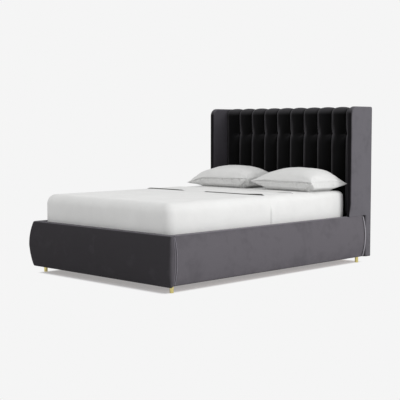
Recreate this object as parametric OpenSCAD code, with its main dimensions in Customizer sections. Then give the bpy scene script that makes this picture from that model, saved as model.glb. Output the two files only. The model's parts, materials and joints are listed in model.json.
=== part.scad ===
// Ottoman bed with a bowed upholstered base, a winged channelled headboard and a lifting slatted platform.
// Millimetres, +Z up, +Y from foot to head, +X to the right of someone who faces the headboard.
// Heights and lengths are laid out from the footboard's top outer edge and the floor, then centred.

/* [Mattress and bedding] */
// Width of the bare mattress
mattress_w = 1392; // [1000:10:1600]
// Length of the bare mattress
mattress_l = 1994; // [1900:5:2100]
// Thickness of the mattress
mattress_h = 248; // [200:1:300]
// Radius of the mattress's corners and top edge
mattress_r = 56; // [40:1:80]
// Thickness of one sheet of cloth
sheet_t = 1.6; // [1:0.1:3]
// Thickness that the turned-down band adds to the top sheet
band_t = 1.8; // [1:0.1:4]
// Depth of the turned-down band
band_l = 360; // [200:5:500]
// Distance from the mattress's head end to the top sheet's fold
fold_back = 585; // [500:5:700]

/* [Pillows] */
// Width of a pillow
pillow_w = 690; // [600:1:700]
// Depth of a pillow
pillow_l = 440; // [360:1:446]
// Height of a pillow's crown above the sheet
pillow_h = 188; // [140:1:200]
// Distance from the mattress's head end to a pillow's middle
pillow_back = 195; // [190:1:240]
// Height of the sewn edge above the sheet
pillow_edge = 66; // [40:1:80]
// Turn of the right pillow towards the foot
pillow_turn = 4; // [0:0.5:4.5]
// Gap between the two pillows
pillow_gap = 10; // [4:1:20]

/* [Base] */
// Height of the side rails and footboard
rail_h = 341; // [300:1:400]
// Thickness of a side rail at its top edge
rail_t = 50; // [46:1:80]
// Thickness of the footboard at its top edge
foot_t = 44; // [42:1:80]
// How far the upholstered faces bow outwards at mid height
bow = 29; // [15:1:40]
// Radius of the upholstered edges
edge_r = 15; // [8:1:20]
// Thickness of the velvet with its backing
skin_t = 2; // [1.5:0.1:3]
// Thickness of the timber boards inside the rails
board_t = 20; // [16:1:20]
// Thickness of the piping at the front corners
welt_d = 5; // [3:0.5:8]
// Gap between the dressed mattress and a side rail
side_gap = 26.2; // [26.2:0.1:40]
// Gap between the dressed mattress and the footboard
foot_gap = 3; // [2:0.5:20]

/* [Headboard] */
// Overall height of the wings
head_h = 1290; // [1150:1:1400]
// Thickness of the headboard behind the padding
head_t = 76; // [70:1:100]
// Gap between the mattress's head end and the face of the padding
head_gap = 112.2; // [108:0.1:140]
// Thickness of the padding at a seam
pad_t = 11; // [8:0.5:20]
// How far a channel stands out from its seams
puff = 30; // [20:1:36]
// Number of upright channels
channels = 10; // [8:1:12]
// Distance from the wings' tops down to the row of buttons
button_drop = 220; // [170:1:340]
// Diameter of a covered button
button_d = 22; // [18:1:26]
// Thickness of the padding over the headboard's top
pad_top = 30; // [20:1:36]
// Radius of the padding's fold over the top
pad_fold_r = 50; // [40:1:56]

/* [Wings] */
// Thickness of a wing
wing_t = 45; // [36:1:60]
// How far a wing reaches forward of the headboard's face
wing_reach = 203; // [150:1:240]
// Step from a rail's inner face to the wing's inner face
wing_step = 20; // [14:1:28]
// Radius of a wing's top front corner
wing_r = 65; // [40:1:90]
// Radius of a wing's padded edges
wing_edge_r = 12; // [6:1:16]
// Thickness of the timber inside a wing
wing_core_t = 18; // [12:1:22]

/* [Legs and floor] */
// Height of the legs
leg_h = 56; // [50:1:80]
// Diameter of a leg
leg_d = 28; // [24:1:36]
// Distance of a leg's middle from the rails' top outer edges
leg_inset = 68; // [66:1:72]
// Thickness of a leg's steel plate
leg_plate_t = 3.5; // [3:0.5:5]
// Side of a leg's steel plate
leg_plate_w = 60; // [50:1:64]
// Side of a corner block
block_w = 56; // [50:1:60]
// Height of a floor ledge
ledge_h = 16; // [12:1:17]
// Width of a floor ledge
ledge_w = 20; // [16:1:24]
// Thickness of a floor panel
floor_t = 6; // [4:0.5:6]
// Diameter of a centre leg
centre_leg_d = 40; // [30:1:50]
// Width of the centre beam
beam_w = 44; // [40:1:60]

/* [Platform] */
// Height of the platform's tubes above the rails' lower edges
platform_rise = 247.5; // [247.5:0.5:250]
// Width of the platform's side and end tubes
tube_w = 30; // [25:1:30]
// Height of the platform's tubes
tube_h = 40; // [34:1:42]
// Wall of the steel tubes
tube_wall = 2; // [1.5:0.1:3]
// Width of the centre spine
spine_w = 50; // [40:1:56]
// Height of the cross tubes
cross_h = 25; // [20:1:30]
// Distance of the platform's ends inside the dressed mattress
tube_inset = 13; // [8:1:20]
// Number of slats on each side
slats = 14; // [10:1:16]
// Width of a slat
slat_w = 68; // [50:1:76]
// Thickness of a slat
slat_t = 8; // [6:0.5:10]
// Thickness of the slat caps' plastic
cap_t = 2.2; // [1.6:0.1:3]
// How far a slat's end sits in its cap
cap_grip = 34; // [20:1:38]
// Diameter of the mattress stops' bar
stop_d = 12; // [8:1:14]
// Distance from the bed's middle to a mattress stop
stop_x = 220; // [160:1:380]
// Width of a mattress stop
stop_w = 180; // [120:1:200]
// Height of a mattress stop above the mattress's underside
stop_h = 90; // [60:1:120]
// Width of the pull strap's webbing
strap_w = 40; // [30:1:50]
// Thickness of the pull strap's webbing
strap_t = 2.5; // [2:0.1:4]
// Length of the pull strap's loop
strap_l = 80; // [60:1:100]
// Thickness of the rubber rest buffers
buffer_t = 8; // [5:1:12]

/* [Lift mechanism] */
// Distance from the footboard's top edge to the front arm's pivot
front_pivot_y = 1022; // [1015:1:1030]
// Height of the front arm's pivot above the rails' lower edges
front_pivot_rise = 91; // [89:1:93]
// Length of the front arm between its pins, along the bed
front_arm_run = 505; // [503:1:507]
// Rise of the front arm between its pins
front_arm_rise = 103; // [101:1:105]
// Distance from the footboard's top edge to the rear arm's pivot
rear_pivot_y = 1490; // [1488:1:1492]
// Height of the rear arm's pivot above the rails' lower edges
rear_pivot_rise = 253; // [252:1:254]
// Length of the rear arm between its pins, along the bed
rear_arm_run = 198; // [197:1:199]
// Rise of the rear arm between its pins
rear_arm_rise = 23; // [22:1:24]
// Distance from the footboard's top edge to the gas strut's lower pin
strut_pivot_y = 1430; // [1428:1:1432]
// Height of the gas strut's lower pin above the rails' lower edges
strut_pivot_rise = 34; // [34:1:36]
// Run of the closed gas strut between its pins
strut_run = 213; // [212:1:215]
// Rise of the closed gas strut between its pins
strut_rise = 181; // [180:1:182]
// Thickness of the base plates and platform brackets
plate_t = 4; // [3:0.5:4.5]
// Thickness of the arms
arm_t = 5; // [4:0.5:5]
// Width of the arms
arm_w = 36; // [30:1:38]
// Diameter of the arms' pins
pin_d = 12; // [10:1:14]
// Diameter of the gas struts' pins and the rear arms' tip pins
stud_d = 10; // [8:1:11]
// Radial running clearance of a pin
pin_play = 0.05; // [0.03:0.01:0.1]
// Radial play of the rear arm's tip on its pin
tip_play = 4.6; // [4.5:0.1:5]
// Radial play of the gas strut's upper eye on its pin
eye_play = 1.9; // [1.8:0.1:2.2]
// Outer diameter of the gas strut's cylinder
cylinder_d = 22; // [20:1:22]
// Wall of the gas strut's cylinder
cylinder_wall = 1.4; // [1.2:0.1:2]
// Diameter of the gas strut's rod
rod_d = 10; // [8:1:11]
// Height of a base plate's lowest edge above the rails' lower edges
plate_rise = 24; // [23:0.5:25]

/* [Hidden] */
$fn = 64;
seat = 0.3;                 // soft pieces lie this far from what carries them
past = 1;                   // a cut runs this far past the face that it opens
bolt_d = 8;
bolt_play = 0.2;            // radial
bolt_stop = 2;              // wood left at the end of a blind bolt hole
head_sides = 6;             // a bolt's head is hexagonal
bolt_head_d = 13;
bolt_head_t = 5.5;

rail_z = leg_h;
rail_top = rail_z + rail_h;
tube_z = rail_z + platform_rise;
tube_top = tube_z + tube_h;
slat_top = tube_top + cap_t + slat_t;
mattress_z = slat_top + seat;
fitted_out = seat + sheet_t;
dressed = 2 * fitted_out;
dress_x = mattress_w / 2 + dressed;
rail_in = dress_x + side_gap;
rail_out = rail_in + rail_t;
mattress_y = foot_t + foot_gap + dressed;
mattress_end = mattress_y + mattress_l;
pad_face = mattress_end + head_gap;
head_y = pad_face + puff + pad_t;
head_back = head_y + head_t;
mid_y = (head_back - bow) / 2;
wing_in = rail_in + wing_step;
wing_out = wing_in + wing_t;
wing_front = head_y - wing_reach;
sheet_z = mattress_z + mattress_h + fitted_out;
fold_y = mattress_end - fold_back;

bow_r = (rail_h * rail_h / 4 + bow * bow) / (2 * bow);
mid_z = rail_z + rail_h / 2;

panel_t = 18;
panel_in = wing_in - seat;
frame_drop = 40;            // the headboard's timber ends this far below the wings' tops
frame_top = head_h - frame_drop;
back_t = 2;
batten_w = 45;
channel_w = 2 * panel_in / channels;

tube_x = dress_x - tube_w;
frame_y0 = foot_t + foot_gap + tube_inset;
frame_y1 = mattress_end - tube_inset;
slat_pitch = (frame_y1 - frame_y0) / slats;

leg_x = rail_out - leg_inset;
front_leg_y = leg_inset;
rear_leg_y = head_y;
plate_shift = 8;            // the front legs' plates lie back from the footboard's cover
leg_round = 2;
block_in = rail_in - block_w;
block_mid = rail_in - block_w / 2;
buffer_r = 14;
block_top = tube_z - seat - buffer_t;
foot_pad_t = 4;             // the centre legs end in a wider pad
foot_pad_rim = 4;
floor_z = leg_h + ledge_h;
floor_gap = 2;              // the floor panels lie this far from the boards and blocks
floor_seam = 1;             // gap between the two floor panels
bolt_low = 64;              // the frame bolts' distances from a corner block's lower and upper end
bolt_high = 45.2;
frame_bolt_z = [rail_z + bolt_low, block_top - bolt_high];

arm_gap = 3;                // a front arm runs this far from its bracket
arms_gap = 3.5;             // a rear arm runs this far from a front arm
bracket_x = dress_x;                       // inner face of a platform bracket
front_arm_x = bracket_x + plate_t + arm_gap;
rear_arm_x = front_arm_x + arm_t + arms_gap;
base_x = rail_in - plate_t;                // inner face of a base plate
strut_shift = 14;                          // a gas strut runs under its side tube
strut_x = tube_x + strut_shift;
eye_w = 12;
collar_d = 18;
pin_gap = 0.2;              // end play of a part between a pin's collar and head
pin_head_t = 1.8;
pin_rim = 3;                // a pin's head and collar stand out this far round it

front_pivot = [front_pivot_y, rail_z + front_pivot_rise];
front_tip = front_pivot + [front_arm_run, front_arm_rise];
rear_pivot = [rear_pivot_y, rail_z + rear_pivot_rise];
rear_tip = rear_pivot + [rear_arm_run, rear_arm_rise];
strut_foot = [strut_pivot_y, rail_z + strut_pivot_rise];
strut_head = strut_foot + [strut_run, strut_rise];
strut_len = norm(strut_head - strut_foot);
strut_angle = atan2(strut_rise, strut_run);
plate_z = rail_z + plate_rise;
bolt_rise = 20;             // the lower bolts lie this far above a base plate's lowest edge
bolt_back = 24;             // the first of them lies this far before the front pivot
bolt_pitch = 141;
upper_pitch = 60;           // the upper bolts step down from the rear pivot
upper_side = 15;
lift_bolts = [
    for (k = [0:2]) [front_pivot_y - bolt_back + k * bolt_pitch, plate_z + bolt_rise],
    for (k = [1, 2]) rear_pivot + [(3 - 2 * k) * upper_side, -k * upper_pitch]
];
plate_rim = 36;             // a base plate ends this far before and behind its pivots
plate_crown = 26;           // and this far above them
plate_cut = 12;             // its corners are cut off this far
plate_waist = 44;           // its height between the pivots
plate_neck = 96;            // its height where it rises to the rear pivot
bracket_rim = 20;           // a platform bracket ends this far from its pins

velvet = "#58565c";
dark_velvet = "#26252a";
timber = "#c9a878";
steel = "#3c3f44";
linen = "#f1f1f0";

// Placing

module from_foot() translate([0, -mid_y, 0]) children();
module left() mirror([1, 0, 0]) children();
module pair() {
    children();
    left() children();
}
// A box from its lowest to its highest corner
module block(low, high) translate(low) cube(high - low);
// A flat outline in the bed's length and height, given a thickness across the bed
module across(x, t) translate([x, 0, 0]) rotate([90, 0, 90]) linear_extrude(t) children();
// An outline in the bed's width and height, given a length along the bed
module along(y0, y1) translate([0, y1, 0]) rotate([90, 0, 0]) linear_extrude(y1 - y0) children();
// A round bar across the bed between two distances from its middle
module bar_x(at, x0, x1, d) translate([x0, at[0], at[1]]) rotate([0, 90, 0]) cylinder(h = x1 - x0, d = d);
// A round bar along the bed
module bar_y(x, z, y0, y1, d) translate([x, y0, z]) rotate([-90, 0, 0]) cylinder(h = y1 - y0, d = d);

// Bowed upholstered outlines

function arc(c, r, from, to, n) =
    [for (k = [0:n]) let (a = from + (to - from) * k / n) c + r * [cos(a), sin(a)]];
// The bowed side of a rail as [distance from its inner face, height], from the top edge to the bottom edge
function bowed_side(t, inset) =
    let (
        c = t + bow - bow_r,
        fall = rail_h / 2 - edge_r,
        a = asin(fall / (bow_r - edge_r)),
        ex = c + sqrt(pow(bow_r - edge_r, 2) - fall * fall)
    )
    concat(
        arc([ex, mid_z + fall], edge_r - inset, 90, a, 5),
        arc([c, mid_z], bow_r - inset, a, -a, 16),
        arc([ex, mid_z - fall], edge_r - inset, -a, -90, 5)
    );
function rail_outline(t, inset) = concat(
    [[inset, rail_z + inset], [inset, rail_top - inset]],
    bowed_side(t, inset)
);
// Right side rail, or its inside when it is inset by the cover's thickness
module rail_body(inset, y0, y1) along(y0, y1) translate([rail_in, 0]) polygon(rail_outline(rail_t, inset));
// Footboard: its front bow and the bows of its two ends meet in mitred corners
module footboard_body(inset) {
    side = [for (p = bowed_side(rail_t, inset)) [p[0] + rail_in, p[1]]];
    other = [for (k = [len(side) - 1:-1:0]) [-side[k][0], side[k][1]]];
    intersection() {
        across(-rail_out - bow, 2 * (rail_out + bow))
            translate([foot_t, 0]) mirror([1, 0]) polygon(rail_outline(foot_t, inset));
        along(-2 * bow, foot_t) polygon(concat(side, other));
    }
}

// A padded skin between two grids of points with the same rows and columns

function grid_faces(rows, cols, start, flip) = [
    for (i = [0:rows - 2], j = [0:cols - 2])
        let (a = start + i * cols + j, b = a + 1, c = a + cols, d = c + 1)
        each flip ? [[a, b, d], [a, d, c]] : [[a, d, b], [a, c, d]]
];
function edge_faces(rim, shift) = [
    for (k = [0:len(rim) - 2])
        let (a = rim[k], b = rim[k + 1])
        each [[a, b, b + shift], [a, b + shift, a + shift]]
];
function rim_of(rows, cols) = concat(
    [for (j = [0:cols - 1]) j],
    [for (i = [1:rows - 1]) i * cols + cols - 1],
    [for (j = [cols - 2:-1:0]) (rows - 1) * cols + j],
    [for (i = [rows - 2:-1:0]) i * cols]
);
module padded_skin(front, back) {
    rows = len(front);
    cols = len(front[0]);
    shift = rows * cols;
    points = concat([for (row = front) each row], [for (row = back) each row]);
    faces = concat(
        grid_faces(rows, cols, 0, true),
        grid_faces(rows, cols, shift, false),
        [for (f = edge_faces(rim_of(rows, cols), shift)) [f[0], f[2], f[1]]]
    );
    polyhedron(points, faces, convexity = 6);
}

// Headboard

// Bolts, or the holes for them when they grow by the play, through the corner blocks
module frame_bolt_lines(y0, y1, grow) for (z = frame_bolt_z) bar_y(block_mid, z, y0, y1, bolt_d + 2 * grow);
module headboard_panel() from_foot() color(timber) difference() {
    block([-panel_in, head_y, rail_z], [panel_in, head_y + panel_t, frame_top]);
    pair() frame_bolt_lines(head_y - past, head_y + panel_t + past, bolt_play);
}
module headboard_battens() from_foot() color(timber) {
    y0 = head_y + panel_t;
    y1 = head_back - back_t;
    for (x = [-panel_in, -batten_w / 2, panel_in - batten_w])
        block([x, y0, rail_z + batten_w], [x + batten_w, y1, frame_top - batten_w]);
    for (z = [rail_z, frame_top - batten_w])
        block([-panel_in, y0, z], [panel_in, y1, z + batten_w]);
}
module headboard_back_cover() from_foot() color(velvet)
    block([-wing_out, head_back - back_t, rail_z], [wing_out, head_back, head_h - wing_edge_r]);

// The padding's path from its lower edge, up the front, over the top and down behind.
// Each entry is [y, z, forward, upward, puff share, tuft share, y inside, z inside].
face_y = head_y - pad_t;
pad_z = rail_top + seat;
button_z = head_h - button_drop;
top_z = frame_top + pad_top;
fold_z = top_z - pad_fold_r;
fold_in = head_y - seat;
inner_z = frame_top + seat;
tuft_half = button_d / 2 + 3;
fold_mid = face_y + pad_fold_r;
end_y = head_back - back_t - seat;
pad_path = [
    [face_y, pad_z, -1, 0, 0.75, 0, fold_in, pad_z],
    [face_y, (pad_z + button_z) / 2, -1, 0, 1, 0, fold_in, (pad_z + button_z) / 2],
    [face_y, button_z - 2.6 * tuft_half, -1, 0, 1, 0.3, fold_in, button_z - 2.6 * tuft_half],
    [face_y, button_z - tuft_half, -1, 0, 1, 1, fold_in, button_z - tuft_half],
    [face_y, button_z + tuft_half, -1, 0, 1, 1, fold_in, button_z + tuft_half],
    [face_y, button_z + 2.6 * tuft_half, -1, 0, 1, 0.3, fold_in, button_z + 2.6 * tuft_half],
    [face_y, fold_z, -1, 0, 1, 0, fold_in, fold_z],
    for (k = [1:3]) let (a = 180 - 30 * k)
        [fold_mid + pad_fold_r * cos(a), fold_z + pad_fold_r * sin(a), cos(a), sin(a),
            [0.8, 0.58, 0.43][k - 1], 0, fold_in + (fold_mid - fold_in) * (k - 1) / 2, inner_z],
    [end_y - pad_top / 3, top_z - 2, 0.5, 0.8, 0.25, 0, end_y - pad_top / 3, inner_z],
    [end_y, inner_z + pad_top / 2, 1, 0, 0, 0, end_y, inner_z]
];
channel_steps = [0, 0.1, 0.3, 0.7, 0.9];
pad_columns = [
    for (c = [0:channels - 1], s = channel_steps) [c, s],
    [channels - 1, 1]
];
function puff_at(s, tuft) = pow(sin(180 * s), 0.55) * (1 - tuft * (s < 0.2 || s > 0.8 ? 1 : 0.22));
module headboard_padding() from_foot() color(dark_velvet) padded_skin(
    [for (q = pad_columns) let (x = (q[0] + q[1]) * channel_w - panel_in)
        [for (p = pad_path) let (d = puff * p[4] * puff_at(q[1], p[5]))
            [x, p[0] + d * p[2], p[1] + d * p[3]]]],
    [for (q = pad_columns) let (x = (q[0] + q[1]) * channel_w - panel_in)
        [for (p = pad_path) [x, p[6], p[7]]]]
);
module headboard_buttons() from_foot() color(dark_velvet)
    for (c = [1:channels - 1])
        translate([c * channel_w - panel_in, face_y - 0.2, button_z]) rotate([90, 0, 0])
            intersection() {
                cylinder(h = button_d / 3, d = button_d);
                translate([0, 0, -button_d / 2]) sphere(d = button_d * 1.62);
            }

// Wings

function wing_outline(inset) = concat(
    [[head_y + inset, rail_z], [head_y + inset, rail_top + inset], [wing_front + inset, rail_top + inset]],
    arc([wing_front + wing_r, head_h - wing_r], wing_r - inset, 180, 90, 10),
    [[head_back - back_t, head_h - inset], [head_back - back_t, rail_z]]
);
// Rounded padded edges: the wing's plan and its front view both have round corners
module wing_rounding() {
    back = head_back - back_t;
    linear_extrude(head_h) {
        translate([wing_in + wing_edge_r, wing_front]) square([wing_t - 2 * wing_edge_r, back - wing_front]);
        translate([wing_in, wing_front + wing_edge_r]) square([wing_t, back - wing_front - wing_edge_r]);
        for (x = [wing_in + wing_edge_r, wing_out - wing_edge_r])
            translate([x, wing_front + wing_edge_r]) circle(r = wing_edge_r);
    }
}
module wing_crown() along(wing_front - 1, head_back) {
    translate([wing_in, 0]) square([wing_t, head_h - wing_edge_r]);
    translate([wing_in + wing_edge_r, 0]) square([wing_t - 2 * wing_edge_r, head_h]);
    for (x = [wing_in + wing_edge_r, wing_out - wing_edge_r])
        translate([x, head_h - wing_edge_r]) circle(r = wing_edge_r);
}
wing_pad = (wing_t - wing_core_t) / 2;
module wing_core() across(wing_in + wing_pad, wing_core_t) polygon(wing_outline(wing_pad));
module wing_cover() from_foot() color(velvet) difference() {
    intersection() {
        across(wing_in, wing_t) polygon(wing_outline(0));
        wing_rounding();
        wing_crown();
    }
    // room for the timber, open below and behind
    across(wing_in + wing_pad - seat, wing_core_t + 2 * seat) union() {
        polygon(wing_outline(wing_pad - seat));
        translate([head_y + wing_pad - seat, rail_z - past]) square([head_t - wing_pad, rail_h]);
        translate([head_back - 2 * back_t, rail_z - past])
            square([2 * back_t, head_h - rail_z - wing_pad + seat + past]);
    }
}
module wing_cores() from_foot() color(timber) pair() wing_core();
module wing_cover_right() wing_cover();
module wing_cover_left() left() wing_cover();

// Side rails and footboard

module lift_bolt_holes(x0, x1) for (b = lift_bolts) bar_x(b, x0, x1, bolt_d + 2 * bolt_play);
module rail_board() from_foot() color(timber) difference() {
    block([rail_in + skin_t, foot_t, rail_z + skin_t],
        [rail_in + skin_t + board_t, head_y, rail_top - skin_t]);
    lift_bolt_holes(rail_in, rail_in + skin_t + board_t - bolt_stop);
}
module rail_cover() from_foot() color(velvet) difference() {
    rail_body(0, foot_t, head_y);
    rail_body(skin_t, foot_t - past, head_y + past);
    lift_bolt_holes(rail_in - past, rail_in + skin_t + past);
}
module side_rail_board_right() rail_board();
module side_rail_board_left() left() rail_board();
module side_rail_cover_right() rail_cover();
module side_rail_cover_left() left() rail_cover();
module foot_board_box(grow) block(
    [-rail_in - board_t, foot_t - skin_t - board_t - grow, rail_z + skin_t],
    [rail_in + board_t, foot_t - skin_t + grow, rail_top - skin_t]
);
module footboard_board() from_foot() color(timber) difference() {
    foot_board_box(0);
    pair() frame_bolt_lines(foot_t - skin_t - board_t + bolt_stop, foot_t, bolt_play);
}
turn_in = 24;               // the cover is turned in this far behind the footboard
module footboard_cover() from_foot() color(velvet) difference() {
    footboard_body(0);
    footboard_body(skin_t);
    block([-rail_in + turn_in, foot_t - 2 * skin_t, rail_z + turn_in],
        [rail_in - turn_in, foot_t + past, rail_top - turn_in]);
}
foam_gap = 0.2;             // between the foam and what it is glued to
module rail_foam() from_foot() color("khaki") {
    pair() intersection() {
        rail_body(skin_t + foam_gap, foot_t, head_y);
        block([rail_in + skin_t + board_t, foot_t, rail_z], [rail_out + bow, head_y, rail_top]);
    }
    difference() {
        footboard_body(skin_t + foam_gap);
        foot_board_box(foam_gap);
        block([-rail_in - board_t, foot_t - skin_t - foam_gap, rail_z],
            [rail_in + board_t, foot_t + past, rail_top]);
    }
}
// Piping over the seam between a side rail and the footboard, along the bow
module corner_welts() from_foot() color(velvet) pair() {
    fall = asin((rail_h / 2 - edge_r) / (bow_r - edge_r));
    translate([rail_out + bow - bow_r, foot_t, mid_z]) rotate([90, 0, 0]) rotate([0, 0, -fall])
        rotate_extrude(angle = 2 * fall)
            translate([bow_r + welt_d / 2 + 0.1, 0]) circle(d = welt_d, $fn = 24);
}

// Corners, legs and floor

module corner_blocks() from_foot() color(timber) pair() for (y = [foot_t, head_y - block_w]) difference() {
    block([block_in, y, rail_z], [rail_in, y + block_w, block_top]);
    frame_bolt_lines(y - past, y + block_w + past, bolt_play);
}
module bolt_heads(y) for (z = frame_bolt_z) translate([block_mid, y, z]) rotate([-90, 0, 0])
    cylinder(h = bolt_head_t, d = bolt_head_d, $fn = head_sides);
module frame_bolts() from_foot() color(steel) pair() {
    frame_bolt_lines(foot_t - skin_t - board_t + 2 * bolt_stop, foot_t + block_w + past, 0);
    bolt_heads(foot_t + block_w);
    frame_bolt_lines(head_y - block_w - past, head_y + panel_t - bolt_stop, 0);
    bolt_heads(head_y - block_w - bolt_head_t);
}
module at_leg(y) translate([leg_x, y, 0]) children();
module leg_plates() from_foot() color(steel) pair() for (y = [front_leg_y + plate_shift, rear_leg_y])
    at_leg(y) translate([-leg_plate_w / 2, -leg_plate_w / 2, leg_h - leg_plate_t])
        cube([leg_plate_w, leg_plate_w, leg_plate_t]);
// Turned brass leg with a slightly rounded foot
module leg(y) from_foot() color("goldenrod") at_leg(y) rotate_extrude() polygon(concat(
    [[0, 0]],
    arc([leg_d / 2 - leg_round, leg_round], leg_round, -90, 0, 5),
    [[leg_d / 2, leg_h - leg_plate_t], [0, leg_h - leg_plate_t]]
));
module leg_front_right() leg(front_leg_y);
module leg_front_left() left() leg(front_leg_y);
module leg_rear_right() leg(rear_leg_y);
module leg_rear_left() left() leg(rear_leg_y);
beam_y0 = foot_t + ledge_w;
beam_y1 = head_y - ledge_w;
module centre_beam() from_foot() color(timber)
    block([-beam_w / 2, beam_y0, leg_h], [beam_w / 2, beam_y1, floor_z]);
module centre_legs() from_foot() color("black") for (share = [1 / 3, 2 / 3])
    translate([0, beam_y0 + (beam_y1 - beam_y0) * share, 0]) {
        cylinder(h = leg_h, d = centre_leg_d);
        cylinder(h = foot_pad_t, d = centre_leg_d + 2 * foot_pad_rim);
    }
module floor_ledges() from_foot() color(timber) {
    pair() block([rail_in - ledge_w, foot_t + block_w, leg_h], [rail_in, head_y - block_w, floor_z]);
    for (y = [foot_t, head_y - ledge_w]) block([-block_in, y, leg_h], [block_in, y + ledge_w, floor_z]);
}
module floor_panel(y0, y1) from_foot() color("tan") difference() {
    block([floor_gap - rail_in, y0, floor_z], [rail_in - floor_gap, y1, floor_z + floor_t]);
    pair() for (y = [foot_t, head_y - block_w])
        block([block_in - floor_gap, y - floor_gap, floor_z - past],
            [rail_in, y + block_w + floor_gap, floor_z + floor_t + past]);
}
floor_mid = (foot_t + head_y) / 2;
module floor_panel_foot() floor_panel(foot_t + floor_gap, floor_mid - floor_seam / 2);
module floor_panel_head() floor_panel(floor_mid + floor_seam / 2, head_y - floor_gap);
module rest_buffers() from_foot() color("black") pair()
    translate([block_in + buffer_r, foot_t + block_w - buffer_r, block_top])
        cylinder(h = buffer_t, r = buffer_r);

// Lift mechanism

tip_wall = 11;              // steel round the rear arm's wide tip hole
// A flat arm from one pin to another, with round ends
module link(p, q, w) {
    d = q - p;
    translate(p) circle(d = w);
    translate(q) circle(d = w);
    translate(p) rotate(atan2(d[1], d[0])) translate([0, -w * 0.45]) square([norm(d), w * 0.9]);
}
// The crown of a base plate round a pivot, towards the head or the foot
function plate_crown_points(p, way) = [
    [p[0] + way * plate_rim, p[1] + plate_crown - plate_cut],
    [p[0] + way * (plate_rim - plate_cut), p[1] + plate_crown]
];
module base_plate() from_foot() color(steel) across(base_x, plate_t) difference() {
    polygon(concat(
        [[front_pivot_y - plate_rim, plate_z], [rear_pivot_y + plate_rim, plate_z]],
        plate_crown_points(rear_pivot, 1),
        [for (k = [1, 0]) plate_crown_points(rear_pivot, -1)[k]],
        [[rear_pivot_y - plate_rim - plate_cut, plate_z + plate_neck]],
        [[front_pivot_y + 2 * plate_rim, plate_z + plate_waist]],
        [plate_crown_points(front_pivot, 1)[1]],
        [for (k = [1, 0]) plate_crown_points(front_pivot, -1)[k]]
    ));
    for (b = lift_bolts) translate(b) circle(d = bolt_d + 2 * bolt_play);
}
module base_plate_right() base_plate();
module base_plate_left() left() base_plate();
module base_plate_bolts() from_foot() color("silver") pair() for (b = lift_bolts) {
    bar_x(b, base_x - past, rail_in + skin_t + board_t - 2 * bolt_stop, bolt_d);
    translate([base_x - bolt_head_t, b[0], b[1]]) rotate([0, 90, 0])
        cylinder(h = bolt_head_t, d = bolt_head_d, $fn = head_sides);
}
// A bar between two places across the bed, whichever comes first
module bar_between(at, x0, x1, d) bar_x(at, min(x0, x1), max(x0, x1), d);
// A shouldered pin: it stands on a face and carries a part that lies between near and far
module pin(at, face, near, far, d) {
    way = sign(far - face);
    head = far + way * pin_gap;
    bar_between(at, face, near - way * pin_gap, max(collar_d, d + 2 * pin_rim));
    bar_between(at, face, head, d);
    bar_between(at, head, head + way * pin_head_t, d + 2 * pin_rim);
}
module base_plate_pins() from_foot() color("silver") pair() {
    pin(front_pivot, base_x, front_arm_x + arm_t, front_arm_x, pin_d);
    pin(rear_pivot, base_x, rear_arm_x + arm_t, rear_arm_x, pin_d);
    pin(strut_foot, base_x, strut_x + eye_w / 2, strut_x - eye_w / 2, stud_d);
}
module front_arm() from_foot() color(steel) across(front_arm_x, arm_t) difference() {
    link(front_pivot, front_tip, arm_w);
    for (p = [front_pivot, front_tip]) translate(p) circle(d = pin_d + 2 * pin_play);
}
module front_arm_right() front_arm();
module front_arm_left() left() front_arm();
module rear_arm() from_foot() color(steel) across(rear_arm_x, arm_t) difference() {
    union() {
        link(rear_pivot, rear_tip, arm_w - 4);
        translate(rear_tip) circle(d = stud_d + 2 * (tip_play + tip_wall));
    }
    translate(rear_pivot) circle(d = pin_d + 2 * pin_play);
    translate(rear_tip) circle(d = stud_d + 2 * tip_play);
}
module rear_arm_right() rear_arm();
module rear_arm_left() left() rear_arm();

// Gas struts lie along their own axis from the lower pin to the upper pin
module at_strut() translate([strut_x, strut_foot[0], strut_foot[1]]) rotate([strut_angle, 0, 0]) children();
module bar_s(s0, s1, d) translate([0, s0, 0]) rotate([-90, 0, 0]) cylinder(h = s1 - s0, d = d);
module eye(s, wall, bore) translate([-eye_w / 2, s, 0]) rotate([0, 90, 0]) difference() {
    cylinder(h = eye_w, d = bore + 2 * wall);
    translate([0, 0, -past]) cylinder(h = eye_w + 2 * past, d = bore);
}
eye_wall = 4;               // of the cylinder's eye
rod_eye_wall = 3;
cylinder_s0 = 14;           // the cylinder starts this far from the lower pin
cylinder_s1 = strut_len - 28;
cylinder_end_t = 5;
gland_l = 7;
piston_l = 12;
piston_s = strut_len / 2 - piston_l;
module strut_cylinder() from_foot() color("#1c1d20") at_strut() difference() {
    union() {
        eye(0, eye_wall, stud_d + 2 * pin_play);
        bar_s(stud_d / 2 + eye_wall / 2, cylinder_s0 + past, stud_d);
        bar_s(cylinder_s0, cylinder_s1, cylinder_d);
    }
    bar_s(cylinder_s0 + cylinder_end_t, cylinder_s1 - gland_l, cylinder_d - 2 * cylinder_wall);
    bar_s(cylinder_s0 + cylinder_end_t, cylinder_s1 + past, rod_d + 2 * pin_play);
}
module strut_cylinder_right() strut_cylinder();
module strut_cylinder_left() left() strut_cylinder();
module strut_rod() from_foot() color("silver") at_strut() {
    bore = stud_d + 2 * eye_play;
    eye(strut_len, rod_eye_wall, bore);
    bar_s(piston_s, strut_len - bore / 2 - rod_eye_wall / 2, rod_d);
    bar_s(piston_s, piston_s + piston_l, cylinder_d - 2 * cylinder_wall - 2 * pin_play);
}
module strut_rod_right() strut_rod();
module strut_rod_left() left() strut_rod();

// Platform

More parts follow.
